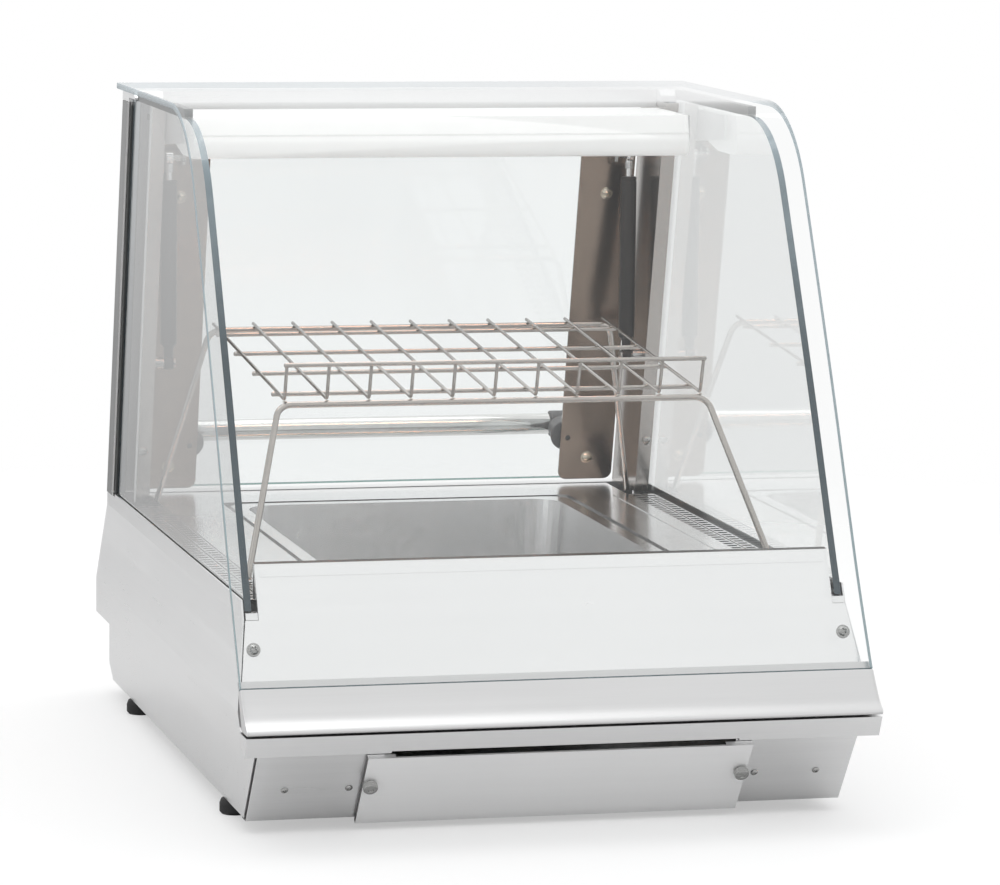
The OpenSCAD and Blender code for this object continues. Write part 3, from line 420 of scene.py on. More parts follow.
# ------------------------------------------------------------------ mesh helpers
def make(name, verts, faces, mats, fmat=None, angle=35.0, body="case"):
    me = bpy.data.meshes.new(name)
    me.from_pydata([tuple(v) for v in verts], [], [tuple(f) for f in faces])
    for m in mats:
        me.materials.append(m)
    if fmat is not None:
        me.polygons.foreach_set("material_index", list(fmat))
    bm = bmesh.new()
    bm.from_mesh(me)
    bmesh.ops.recalc_face_normals(bm, faces=bm.faces)
    bm.to_mesh(me)
    bm.free()
    finish_shading(me, angle)
    o = link(bpy.data.objects.new(name, me))
    if body:
        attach(o, body)
    return o


def finish_shading(me, angle):
    me.polygons.foreach_set("use_smooth", [True] * len(me.polygons))
    me.set_sharp_from_angle(angle=math.radians(angle))
    me.update()


def flat_first(me, angle):
    """Area-weighted corner normals: broad faces stay flat and only their rounded edges are shaded round."""
    nf = len(me.polygons)
    fn = np.empty(nf * 3)
    fa = np.empty(nf)
    me.polygons.foreach_get("normal", fn)
    me.polygons.foreach_get("area", fa)
    fn = fn.reshape(-1, 3)
    around = [[] for _ in me.vertices]
    for p in me.polygons:
        for v in p.vertices:
            around[v].append(p.index)
    c = math.cos(math.radians(angle))
    out = []
    for p in me.polygons:
        n0 = fn[p.index]
        for v in p.vertices:
            acc = np.zeros(3)
            for q in around[v]:
                if float(fn[q] @ n0) > c:
                    acc += fn[q] * fa[q]
            k = float(np.linalg.norm(acc))
            out.append(tuple(acc / k) if k > 1e-18 else tuple(n0))
    me.normals_split_custom_set(out)


def from_bm(name, bm, mats, angle=35.0, body="case", matfn=None):
    bmesh.ops.recalc_face_normals(bm, faces=bm.faces)
    if matfn:
        bm.normal_update()
        for f in bm.faces:
            f.material_index = matfn(f)
    me = bpy.data.meshes.new(name)
    bm.to_mesh(me)
    bm.free()
    for m in mats:
        me.materials.append(m)
    finish_shading(me, angle)
    if len(me.polygons) < 4000:
        flat_first(me, angle + 12)
    o = link(bpy.data.objects.new(name, me))
    if body:
        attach(o, body)
    return o


def vec2(a):
    return np.array(a, float)


def catmull(pts, n, tail=True):
    """Smooth curve through points in the plane."""
    p = [vec2(x) for x in pts]
    p = [2 * p[0] - p[1]] + p + [2 * p[-1] - p[-2]]
    out = []
    for i in range(1, len(p) - 2):
        a, b, c, d = p[i - 1:i + 3]
        for k in range(n):
            t = k / n
            out.append(0.5 * ((2 * b) + (c - a) * t + (2 * a - 5 * b + 4 * c - d) * t * t + (3 * b - a - 3 * c + d) * t ** 3))
    if tail:
        out.append(p[-2])
    return out


def offset_path(p, t):
    """Path shifted by t to its right-hand side."""
    p = [vec2(x) for x in p]
    out = []
    for i in range(len(p)):
        a = p[i] - p[i - 1] if i > 0 else p[i + 1] - p[i]
        b = p[i + 1] - p[i] if i < len(p) - 1 else a
        a = a / np.linalg.norm(a)
        b = b / np.linalg.norm(b)
        na, nb = np.array((a[1], -a[0])), np.array((b[1], -b[0]))
        m = (na + nb) / (1 + a @ b)
        out.append(p[i] + m * t)
    return out


def fillet(pts, r, n=6, closed=False):
    """Polyline corners rounded with arcs; r is one number or one per point."""
    p = [vec2(x) for x in pts]
    m = len(p)
    rr = [r] * m if isinstance(r, (int, float)) else r
    out = []
    for i in range(m):
        if not closed and i in (0, m - 1):
            out.append(p[i])
            continue
        a, b, c = p[i - 1], p[i], p[(i + 1) % m]
        u = a - b
        v = c - b
        lu, lv = np.linalg.norm(u), np.linalg.norm(v)
        u, v = u / lu, v / lv
        cosang = max(-1, min(1, float(u @ v)))
        ang = math.acos(cosang)
        if rr[i] <= 0 or ang > math.pi - 0.02:
            out.append(b)
            continue
        tl_ = min(rr[i] / math.tan(ang / 2), lu * 0.49, lv * 0.49)
        rad = tl_ * math.tan(ang / 2)
        bis = (u + v) / np.linalg.norm(u + v)
        cen = b + bis * (rad / math.sin(ang / 2))
        s = b + u * tl_ - cen
        e = b + v * tl_ - cen
        a0 = math.atan2(s[1], s[0])
        a1 = math.atan2(e[1], e[0])
        d = (a1 - a0 + math.pi) % (2 * math.pi) - math.pi
        for k in range(n + 1):
            w = a0 + d * k / n
            out.append(cen + rad * np.array((math.cos(w), math.sin(w))))
    return out


def prism(name, loop, x0, x1, mat, body="case", bevel=0.0, seg=2, angle=35.0, xf=None, mats=None, matfn=None):
    """Closed (Y, Z) loop pushed along X; xf maps design (x, y, z) to a point."""
    xf = xf or P
    bm = bmesh.new()
    a = [bm.verts.new(xf(x0, q[0], q[1])) for q in loop]
    b = [bm.verts.new(xf(x1, q[0], q[1])) for q in loop]
    n = len(loop)
    for i in range(n):
        j = (i + 1) % n
        bm.faces.new((a[i], a[j], b[j], b[i]))
    fa = bm.faces.new(list(reversed(a)))
    fb = bm.faces.new(b)
    if bevel:
        ed = list(fa.edges) + list(fb.edges)
        bmesh.ops.bevel(bm, geom=ed, offset=bevel * 0.001, offset_type="OFFSET", segments=seg, profile=0.5, affect="EDGES", clamp_overlap=True)
    return from_bm(name, bm, mats or [mat], angle, body, matfn)


def tube_geo(pts, r, seg=16, closed=False, cap=True, frac=0.35):
    """Vertices and faces of a round bar along 3-D points, ends slightly rounded."""
    p = [np.array(x, float) for x in pts]
    n = len(p)
    tang = []
    for i in range(n):
        a = p[i] - p[i - 1] if (i > 0 or closed) else p[1] - p[0]
        b = p[(i + 1) % n] - p[i] if (i < n - 1 or closed) else a
        t = a / np.linalg.norm(a) + b / np.linalg.norm(b)
        tang.append(t / np.linalg.norm(t))
    ref = np.array((0, 0, 1.0)) if abs(tang[0][2]) < 0.9 else np.array((1.0, 0, 0))
    nrm = np.cross(tang[0], ref)
    nrm /= np.linalg.norm(nrm)
    rings = []
    V, F = [], []

    def ring(c, nn, t, rad):
        bn = np.cross(t, nn)
        base = len(V)
        for k in range(seg):
            w = 2 * math.pi * k / seg
            V.append(c + rad * (math.cos(w) * nn + math.sin(w) * bn))
        rings.append(base)

    for i in range(n):
        t = tang[i]
        nrm = nrm - t * (nrm @ t)
        nrm /= np.linalg.norm(nrm)
        if i == 0 and cap and not closed:
            ring(p[0], nrm, t, r * (1 - frac))
            ring(p[0] + t * r * frac * 0.35, nrm, t, r * (1 - frac * 0.35))
            ring(p[0] + t * r * frac, nrm, t, r)
            continue
        if i == n - 1 and cap and not closed:
            ring(p[-1] - t * r * frac, nrm, t, r)
            ring(p[-1] - t * r * frac * 0.35, nrm, t, r * (1 - frac * 0.35))
            ring(p[-1], nrm, t, r * (1 - frac))
            continue
        # mitre stretch is small with finely divided bends
        ring(p[i], nrm, t, r)
    m = len(rings)
    for i in range(m if closed else m - 1):
        a, b = rings[i], rings[(i + 1) % m]
        for k in range(seg):
            j = (k + 1) % seg
            F.append((a + k, a + j, b + j, b + k))
    if not closed:
        F.append(tuple(rings[0] + k for k in reversed(range(seg))))
        F.append(tuple(rings[-1] + k for k in range(seg)))
    return V, F


def merge(parts):
    V, F = [], []
    for v, f in parts:
        base = len(V)
        V += list(v)
        F += [tuple(i + base for i in q) for q in f]
    return V, F


def lathe_geo(prof, seg=48, frame_=None, mod=None):
    """Revolve (radius, height) about the local Z; radius 0 closes the end."""
    V, F = [], []
    rows = []
    for r, h in prof:
        if r <= 1e-9:
            rows.append([len(V)])
            V.append((0.0, 0.0, h))
        else:
            row = []
            for k in range(seg):
                w = 2 * math.pi * k / seg
                rr = r * (1 + (mod(w, r, h) if mod else 0))
                row.append(len(V))
                V.append((rr * math.cos(w), rr * math.sin(w), h))
            rows.append(row)
    for a, b in zip(rows, rows[1:]):
        if len(a) == 1 and len(b) == 1:
            continue
        for k in range(seg):
            j = (k + 1) % seg
            if len(a) == 1:
                F.append((a[0], b[j], b[k]))
            elif len(b) == 1:
                F.append((a[k], a[j], b[0]))
            else:
                F.append((a[k], a[j], b[j], b[k]))
    if frame_ is not None:
        V = [frame_ @ Vector(v) for v in V]
    return V, F


def round_prof(pts, r, n=4):
    return [tuple(q) for q in fillet(pts, r, n)]


def axis_frame(origin, zdir, xdir=(1, 0, 0)):
    z = Vector(zdir).normalized()
    x = Vector(xdir)
    x = (x - z * x.dot(z)).normalized()
    y = z.cross(x)
    m = Matrix((x, y, z)).transposed().to_4x4()
    return Matrix.Translation(Vector(origin)) @ m @ Matrix.Scale(0.001, 4)


def pan_head_geo(hd, hh, shank_d, shank_l, F4, spin=0.0, washer=None):
    """Cross-recess pan head on its seat plane z = 0, head towards +Z (mm, through F4)."""
    R = hd / 2
    dome_r = (R * R + (hh * 0.9) ** 2) / (2 * hh * 0.9)

    def dome(x, y):
        q = min(R * R, x * x + y * y)
        return hh * 0.1 + math.sqrt(max(0.0, dome_r ** 2 - q)) - (dome_r - hh * 0.9)

    ca, sa = math.cos(spin), math.sin(spin)
    w, l_ = hd * 0.075, hd * 0.27
    cross = []
    base = [(l_, -w), (l_, w), (w * 1.5, w), (w, w * 1.5), (w, l_), (-w, l_), (-w, w * 1.5), (-w * 1.5, w), (-l_, w), (-l_, -w), (-w * 1.5, -w), (-w, -w * 1.5), (-w, -l_), (w, -l_), (w, -w * 1.5), (w * 1.5, -w)]
    cross = [(x * ca - y * sa, x * sa + y * ca) for x, y in base]
    nc = len(cross)
    pts = [Vector(c) for c in cross]
    cons = [(i, (i + 1) % nc) for i in range(nc)]
    seg = 40
    for fr in (0.62, 0.8, 0.93, 1.0):
        s0 = len(pts)
        for k in range(seg):
            a = 2 * math.pi * k / seg
            pts.append(Vector((fr * R * math.cos(a), fr * R * math.sin(a))))
        if fr == 1.0:
            ring0 = s0
    from mathutils.geometry import delaunay_2d_cdt
    vv, ee, ff, *_ = delaunay_2d_cdt(pts, cons, [], 0, 1e-6)

    def inside(c):
        n_ = len(cross)
        k = False
        j = n_ - 1
        for i in range(n_):
            if (cross[i][1] > c[1]) != (cross[j][1] > c[1]) and c[0] < (cross[j][0] - cross[i][0]) * (c[1] - cross[i][1]) / (cross[j][1] - cross[i][1]) + cross[i][0]:
                k = not k
            j = i
        return k

    V = [(p.x, p.y, dome(p.x, p.y)) for p in vv]
    F = []
    for f in ff:
        c = ((vv[f[0]].x + vv[f[1]].x + vv[f[2]].x) / 3, (vv[f[0]].y + vv[f[1]].y + vv[f[2]].y) / 3)
        if not inside(c):
            F.append(tuple(f))
    # recess walls run down to a smaller floor
    fl0 = len(V)
    for x, y in cross:
        V.append((x * 0.72, y * 0.72, hh * 0.38))
    for i in range(nc):
        j = (i + 1) % nc
        F.append((i, j, fl0 + j, fl0 + i))
    F.append(tuple(fl0 + i for i in range(nc)))
    # rim, underside and shank
    prof = [(R, hh * 0.1), (R * 0.985, hh * 0.03), (R * 0.95, 0.0), (shank_d / 2, 0.0), (shank_d / 2, -shank_l + 0.5), (shank_d / 2 - 0.5, -shank_l), (0, -shank_l)]
    v2, f2 = lathe_geo(prof, seg)
    V, F = merge([(V, F), (v2, f2)])
    if washer:
        od, id_, th = washer
        V = [(x, y, z + th) for x, y, z in V]
        wp = [(id_ / 2, 0.0), (id_ / 2, th), (od / 2 - 0.35, th), (od / 2 - 0.08, th - 0.12), (od / 2, th - 0.4), (od / 2, 0.15), (od / 2 - 0.15, 0.0), (id_ / 2, 0.0)]
        V, F = merge([(V, F), lathe_geo(wp, 48)])
    V = [F4 @ Vector(v) for v in V]
    return V, F


# ------------------------------------------------------------------ design curves
TL = math.tan(math.radians(12.7))
DZ = 191.0
gp = [(-343.3, 130), (-303.5, 197.8), (-278, 246), (-228.5, 342), (-182.4, 426.6)]
BA, BR = 151.3, 125.0
bc = np.array((-20.3, 585.0 - BR))


def arc_pt(a):
    return bc + BR * np.array((math.cos(math.radians(a)), math.sin(math.radians(a))))


gq = [2 * vec2(gp[0]) - vec2(gp[1])] + [vec2(q) for q in gp] + [arc_pt(BA), arc_pt(BA - 12)]


def crom(a, b, c, d, t):
    return 0.5 * ((2 * b) + (c - a) * t + (2 * a - 5 * b + 4 * c - d) * t * t + (3 * b - a - 3 * c + d) * t ** 3)


outer = []
for i in range(1, 6):
    for k in range(10):
        outer.append(crom(gq[i - 1], gq[i], gq[i + 1], gq[i + 2], k / 10))
for k in range(41):
    outer.append(arc_pt(BA + (90 - BA) * k / 40))
outer.append(vec2((255, 585)))


def ry(z):
    return 358 - TL * (z - 199)


def py(z):
    return 350 - TL * (z - 195)


def fy(z):
    return 275.7 - TL * (z - 199)


HZ = 552.0
HY = py(HZ) + 4 / math.cos(math.radians(12.7))
CL, SL = math.cos(math.radians(12.7)), math.sin(math.radians(12.7))


def flapP(x, y, z):
    return P(x, HY + y * CL - z * SL, HZ + y * SL + z * CL)


def flap_dir(y, z):
    return Vector((0, y * CL - z * SL, y * SL + z * CL))


# ------------------------------------------------------------------ glass
def bent_glass():
    T = 5.5
    cs = [(-269.2, 0), (269.2, 0), (269.75, 0.22), (270, 0.8), (270, 4.7), (269.75, 5.28), (269.2, 5.5), (-269.2, 5.5), (-269.75, 5.28), (-270, 4.7), (-270, 0.8), (-269.75, 0.22)]
    nrm = offset_path(outer, 1.0)
    V, F, fm = [], [], []
    n = len(cs)
    for q, q1 in zip(outer, nrm):
        d = q1 - q
        for x, t in cs:
            c = q + d * t
            V.append(P(x, c[0], c[1]))
    for i in range(len(outer) - 1):
        for k in range(n):
            j = (k + 1) % n
            F.append((i * n + k, i * n + j, (i + 1) * n + j, (i + 1) * n + k))
            fm.append(0 if k in (0, 6) else 1)
    F.append(tuple(reversed(range(n))))
    F.append(tuple((len(outer) - 1) * n + k for k in range(n)))
    fm += [1, 1]
    o = make("bent_front_glass", V, F, [M["glass"], M["edge_light"]], fm, 30, "case")
    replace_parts(o, "front_glass")


bent_glass()

inner_edge = offset_path(outer, 14.5)
sg = [vec2((-294, DZ - 6))]
front_pts = [p for p in inner_edge if p[1] > 193.5 and p[0] < 10]
sg.append(front_pts[0] - vec2((1.2, 3)))
sg += front_pts
sg += [vec2((200, 570.5)), vec2((ry(570.5) - 36, 570.5)), vec2((ry(DZ - 6) - 36, DZ - 6))]
for side_, s in (("right", 1), ("left", -1)):
    o = prism("side_pane_" + side_, sg, s * 251, s * 257, None, "case", 0.6, 2, 30, None,
              [M["glass_side" if s < 0 else "glass_side_b"], M["edge_dark"]], lambda f: 0 if abs(f.normal.x) > 0.95 else 1)
    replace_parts(o, "side_glass_" + side_)

pane = [(-2.2, -364.6), (2.8, -364.6), (2.8, -13), (-2.2, -13)]
o = prism("flap_glass", pane, -229, 229, None, "rear_flap", 0.5, 2, 30, flapP,
          [M["pane"], M["edge_green"]], lambda f: 0 if abs(f.normal.dot(flap_dir(1, 0))) > 0.95 else 1)
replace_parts(o, "flap_pane")

# ------------------------------------------------------------------ front trim
bo = [(-343.9, 129), (-349.4, 121.8), (-355.9, 113.9), (-362.9, 106.5), (-372.4, 99.4)]
nose = [vec2(q) for q in catmull(bo, 7)] + [vec2((-373.4, 98.4)), vec2((-373.6, 97.7)), vec2((-373.45, 96.9)), vec2((-373.0, 96.2)), vec2((-372.3, 95.75)), vec2((-371.5, 95.6)), vec2((-350, 95.6))]
bi = catmull([(-350, 97.4), (-368.0, 97.4), (-361.2, 103.2), (-354, 110.8), (-347.4, 118.8), (-341.9, 126.4)], 5)
bl = [(-336.9, 123.4), (-331.6, 132.8), (-332.9, 133.6), (-338.2, 125.9)]
o1 = prism("bullnose_extrusion", nose + bi[4:] + [vec2(q) for q in bl], -268.6, 268.6, M["bull"], "case", 0.0, 1, 32)
capl = nose[:-1] + [vec2((-350, 95.6)), vec2((-342, 112)), vec2((-338, 122))] + [vec2(q) for q in bl]
for s in (-1, 1):
    oc = prism("bullnose_end_" + ("right" if s > 0 else "left"), capl, s * 268.4, s * 270, M["bull"], "case", 0.7, 3, 32)
    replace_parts(oc, "bullnose")
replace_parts(o1, "bullnose")

lip_path = fillet([(-347, 76.2), (-363.2, 76.2), (-371.2, 93.5), (-347, 93.5)], [0, 1.6, 1.6, 0], 5)
lip_in = offset_path(lip_path, 1.4)


def lamp_shell():
    lo = fillet([(94.5, 563.6), (90.0, 548.2), (91.2, 546.4)], [0, 0.5, 0.0], 3)
    low = catmull([(91.2, 546.4), (89.5, 541.2), (90.4, 533.2), (93.4, 528.7), (98.2, 526.6)], 8)
    back = fillet([(100, 526.6), (100, 531), (95.6, 533.6), (93.8, 541), (94.6, 548.4), (97, 561.6), (192.4, 561.6), (184, 536.4), (148, 529.4), (148, 526.6), (150, 526.6), (186, 534), (196, 563.6)], 0, 1)
    loop = lo[:-1] + low + back
    o = prism("lamp_canopy", loop, -225, 225, M["canopy"], "case", 0.0, 1, 24)
    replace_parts(o, "lamp_housing")
    full = lo[:-1] + low + [vec2((150, 526.6)), vec2((186, 534)), vec2((196, 563.6))]
    for s in (-1, 1):
        oc = prism("lamp_canopy_end_" + ("right" if s > 0 else "left"), full, s * 225.1, s * 228.3, M["canopy"], "case", 1.3, 4, 30)
        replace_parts(oc, "lamp_end_caps")


lamp_shell()

# ------------------------------------------------------------------ wire shelf
SSL = math.tan(math.radians(5.2))


def wz(y):
    return 335.5 + SSL * (y + 104)


def path3(x, pts2):
    return [P(x, q[0], q[1]) for q in pts2]


def wire_shelf():
    parts, beads = [], []
    sh_ = 185.5
    xs = [-sh_ + i * 37.1 for i in range(11)]
    for x in xs:
        pth = fillet([(221, wz(221)), (-104.4, wz(-104.4)), (-113.1, 364.2)], [0, 4.2, 0], 8)
        parts.append(tube_geo(path3(x, pth), 0.0015, 14))
    parts.append(tube_geo([P(-188, -113.6, 366), P(188, -113.6, 366)], 0.002, 18, frac=0.5))
    for y in (-67, 18, 103, 188):
        z = wz(y) - 3.4 / math.cos(math.radians(5.2))
        parts.append(tube_geo([P(-189.5, y, z), P(189.5, y, z)], 0.002, 18, frac=0.5))
        for x in xs:
            beads.append((x, y, wz(y) - 1.55))
    for x in xs:
        beads.append((x, -112.7, 364.6))
        beads.append((x, -105.3, 333.7))
    V, F = merge(parts)
    o = make("shelf_wires", V, F, [M["wire"]], None, 40, "shelf")
    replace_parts(o, "shelf_grid")
    bv = []
    prof = [(0, -0.9), (0.75, -0.62), (1.05, 0), (0.75, 0.62), (0, 0.9)]
    for i, (x, y, z) in enumerate(beads):
        v, f = lathe_geo(prof, 10)
        sx, sy = 1.75 + 0.25 * math.sin(i * 2.4), 1.45 + 0.2 * math.sin(i * 1.7)
        bv.append(([P(x + a[0] * sx, y + a[1] * sy, z + a[2]) for a in v], f))
    V, F = merge(bv)
    make("shelf_weld_beads", V, F, [M["weld"]], None, 60, "shelf")


def fillet3(pts, r, n=10):
    p = [np.array(x, float) for x in pts]
    out = [p[0]]
    for i in range(1, len(p) - 1):
        a, b, c = p[i - 1], p[i], p[i + 1]
        u = (a - b) / np.linalg.norm(a - b)
        v = (c - b) / np.linalg.norm(c - b)
        ang = math.acos(max(-1, min(1, float(u @ v))))
        t = r / math.tan(ang / 2)
        bis = (u + v) / np.linalg.norm(u + v)
        cen = b + bis * (r / math.sin(ang / 2))
        s, e = b + u * t - cen, b + v * t - cen
        w = math.acos(max(-1, min(1, float(s @ e) / (r * r))))
        for k in range(n + 1):
            f = k / n
            out.append(cen + (math.sin((1 - f) * w) * s + math.sin(f * w) * e) / math.sin(w))
    out.append(p[-1])
    return out


def leg_loop(name, node, p, f):
    d = np.array((f[0] - p[0], f[1] - p[1], f[2] - p[2]), float)
    t = (193.2 - p[2]) / d[2]
    ft = np.array(p) + d * t
    pts = [ft, p, (-p[0], p[1], p[2]), (-ft[0], ft[1], ft[2])]
    pts = fillet3(pts, 14, 12)
    V, F = tube_geo([P(*q) for q in pts], 0.00275, 24, frac=0.3)
    o = make(name, V, F, [M["wire"]], None, 40, "shelf")
    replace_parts(o, node)


wire_shelf()
leg_loop("shelf_front_legs", "shelf_front_loop", (191, -106, 330.9), (232.6, -181.5, DZ - 2))
leg_loop("shelf_rear_legs", "shelf_rear_loop", (190, 214, wz(214) - 4.3), (228.6, 281.5, DZ - 2))

# ------------------------------------------------------------------ screws
ps = [vec2((-345.1, 73)), vec2((-298.4, 12.1))]
pd = (ps[1] - ps[0]) / np.linalg.norm(ps[1] - ps[0])
pn = np.array((pd[1], -pd[0]))


def on_plinth(z, extra=0.0):
    return np.array((ps[0][0] + (ps[1][0] - ps[0][0]) * (73 - z) / (73 - 12.1), z)) + pn * (1.5 + extra)


def plinth_frame(x, z, extra):
    q = on_plinth(z, extra)
    return axis_frame(P(x, q[0], q[1]), (0, pn[0], pn[1]))


parts = []
for i, x in enumerate((174.3, 228.4, -174.3, -228.4)):
    parts.append(pan_head_geo(6.4, 1.9, 3.8, 8.5, plinth_frame(x, 41, 0.2), 0.3 + i * 0.8))
V, F = merge(parts)
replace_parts(make("plinth_screw_heads", V, F, [M["screw"]], None, 28, "case"), "plinth_screws")

fp = [vec2(q) for q in ((-346.8, 99.5), (-333, 112.5), (-313, 155), (-281.6, 222))]
fd = (fp[3] - fp[2]) / np.linalg.norm(fp[3] - fp[2])
fnn = np.array((-fd[1], fd[0]))


def on_fp(z):
    return np.array((fp[2][0] + (fp[3][0] - fp[2][0]) * (z - fp[2][1]) / (fp[3][1] - fp[2][1]), z))


parts = []
for s in (-1, 1):
    q = on_fp(156) + fnn * 0.1
    parts.append(pan_head_geo(8.8, 3.0, 4.2, 9, axis_frame(P(s * 253, q[0], q[1]), (0, fnn[0], fnn[1])), 0.5 if s > 0 else 0.95, (11.6, 4.4, 1.1)))
V, F = merge(parts)
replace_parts(make("clamp_screw_heads", V, F, [M["screw"]], None, 28, "case"), "clamp_screws")

parts = []
for s in (-1, 1):
    parts.append(pan_head_geo(8.6, 2.8, 4.1, 7, axis_frame(P(s * 242.8, fy(242) - 0.2, 242), (0, -CL, -SL)), 0.2 if s > 0 else 1.1))
V, F = merge(parts)
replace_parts(make("post_screw_heads", V, F, [M["screw"]], None, 28, "case"), "post_screws")

parts = []
for s in (-1, 1):
    for z in (-365.6 + 22.6, -76):
        o_ = flapP(s * 205, -4.1, z)
        parts.append(pan_head_geo(9.5, 3.2, 5, 9, axis_frame(o_, flap_dir(-1, 0)), 0.4 * s + z * 0.01, (12, 5.2, 1.0)))
        nut = [(2.7, 0.0), (2.7, 3.6), (4.1, 3.6), (4.6, 3.1), (4.6, 0.4), (4.3, 0.0), (2.7, 0.0)]
        parts.append(lathe_geo(nut, 6, axis_frame(flapP(s * 205, 3.1, z), flap_dir(1, 0))))
V, F = merge(parts)
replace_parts(make("flap_screw_heads", V, F, [M["brass_screw"]], None, 28, "rear_flap"), "flap_screws")

for side_, s in (("right", 1), ("left", -1)):
    fr = plinth_frame(s * 159.1, 48.8, 0.4 + 4.6 + 0.3)
    head = [(0, -6.5), (1.7, -6.5), (2.1, -6.1), (2.1, 0.0), (4.25, 0.0), (4.25, 1.0), (5.7, 1.0), (6.2, 1.5), (6.2, 5.7), (5.75, 6.35), (4.9, 6.9), (3.9, 7.15), (2.2, 7.2), (1.9, 6.7), (0, 6.6)]
    v, f = lathe_geo(head, 120, fr, lambda w, r, h: -0.045 * (0.5 + 0.5 * math.cos(30 * w)) if 1.4 < h < 5.8 and r > 6.0 else 0)
    o = make("thumb_screw_" + side_ + "_knurled", v, f, [M["screw"]], None, 28, "thumb_screw_" + side_)
    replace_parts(o, "thumb_screw_" + side_)

# ------------------------------------------------------------------ feet
parts = []
for s in (-1, 1):
    for y in (-216, 240):
        prof = round_prof([(0, 3.2), (3.9, 3.2), (4.0, 0.0), (11.0, 0.0), (13.0, 2.2), (13.0, 9.0), (11.5, 13.0), (2.4, 13.0), (2.4, 19.0), (0, 19.0)], [0, 0.3, 0.5, 0.9, 1.2, 1.4, 0.8, 0.2, 0.3, 0], 3)
        parts.append(lathe_geo(prof, 48, axis_frame(P(s * 249, y, 0), (0, 0, 1))))
V, F = merge(parts)
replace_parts(make("moulded_feet", V, F, [M["rubber"]], None, 40, "case"), "rubber_feet")

# ------------------------------------------------------------------ flap handle
HYL, HZL = 37.34, -365.6 + 42.5
V, F = tube_geo([flapP(x, HYL, HZL) for x in (-184.4, -100, 0, 100, 184.4)], 0.010, 64, frac=0.08)
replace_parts(make("handle_tube", V, F, [M["tube"]], None, 40, "rear_flap"), "flap_handle")


def handle_lug(s):
    fr = axis_frame(flapP(s * 185, 0, HZL), flap_dir(1, 0))
    base = round_prof([(0, 3.1), (14.8, 3.1), (15.0, 5.3), (12.6, 6.4), (12.3, 24.5), (0, 24.5)], [0, 0.4, 1.0, 1.6, 0.1, 0], 4)
    v1 = lathe_geo(base, 64, fr)
    fx = axis_frame(flapP(s * 185, HYL, HZL), Vector((s, 0, 0)), (0, 0, 1))
    cup = round_prof([(10.15, 0.5), (10.15, -8.0), (12.4, -8.0), (12.4, 12.4), (0, 12.4)], [0, 0.2, 0.9, 4.2, 0], 6)
    v2 = lathe_geo(cup, 64, fx)
    return merge([v1, v2])


V, F = merge([handle_lug(1), handle_lug(-1)])
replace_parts(make("handle_lugs", V, F, [M["dark"]], None, 38, "rear_flap"), "handle_mounts")

# ------------------------------------------------------------------ folded rear ends of the side panels
for side_, s in (("right", 1), ("left", -1)):
    bm = bmesh.new()
    prof = [(257.95, 77.3), (268.9, 77.3), (268.9, 108.7), (258.6, 177.2), (257.95, 177.2)]
    a = [bm.verts.new(P(s * q[0], 363.6, q[1])) for q in prof]
    b = [bm.verts.new(P(s * q[0], 364.8, q[1])) for q in prof]
    for i in range(len(prof)):
        j = (i + 1) % len(prof)
        bm.faces.new((a[i], a[j], b[j], b[i]))
    bm.faces.new(list(reversed(a)))
    bm.faces.new(b)
    from_bm("side_panel_end_" + side_, bm, [M["panel"]], 30, "case")

# ------------------------------------------------------------------ gas struts
for side_, s in (("right", 1), ("left", -1)):
    fr = axis_frame(P(s * 220, 262, 0), (0, 0, 1))
    tubep = round_prof([(0, 330), (4.4, 330), (4.4, 338.5), (6.0, 341), (7.5, 342.5), (7.5, 489.5), (7.1, 491.0), (7.5, 492.2), (7.5, 493.4), (6.4, 494.5), (3.2, 494.5), (3.2, 492.0), (0, 492.0)], [0, 0.2, 0.8, 0.8, 1.2, 0.3, 0.3, 0.3, 0.6, 0.5, 0.2, 0.2, 0], 3)
    v1 = lathe_geo(tubep, 48, fr)
    eye = round_prof([(3.05, -4.0), (6.5, -4.0), (6.5, 4.0), (3.05, 4.0), (3.05, -4.0)], [0, 0.8, 0.8, 0.2, 0], 3)
    v2 = lathe_geo(eye, 40, axis_frame(P(s * 220, 262, 325), (1, 0, 0), (0, 0, 1)))
    V, F = merge([v1, v2])
    o = make("gas_cylinder_" + side_, V, F, [M["strut"]], None, 35, "strut_tube_" + side_)
    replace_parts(o, "strut_tube_" + side_)
    rodp = [(0, 404), (2.9, 404), (3.0, 404.3), (3.0, 501.5), (3.9, 502), (4.0, 502.5), (4.0, 509.6), (0, 509.6)]
    v1 = lathe_geo(rodp, 40, fr)
    eye = round_prof([(3.05, -3.6), (6.0, -3.6), (6.0, 3.6), (3.05, 3.6), (3.05, -3.6)], [0, 0.8, 0.8, 0.2, 0], 3)
    v2 = lathe_geo(eye, 40, axis_frame(P(s * 220, 262, 515), (1, 0, 0), (0, 0, 1)))
    V, F = merge([v1, v2])
    o = make("chrome_rod_" + side_, V, F, [M["chrome"]], None, 35, "strut_rod_" + side_)
    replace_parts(o, "strut_rod_" + side_)

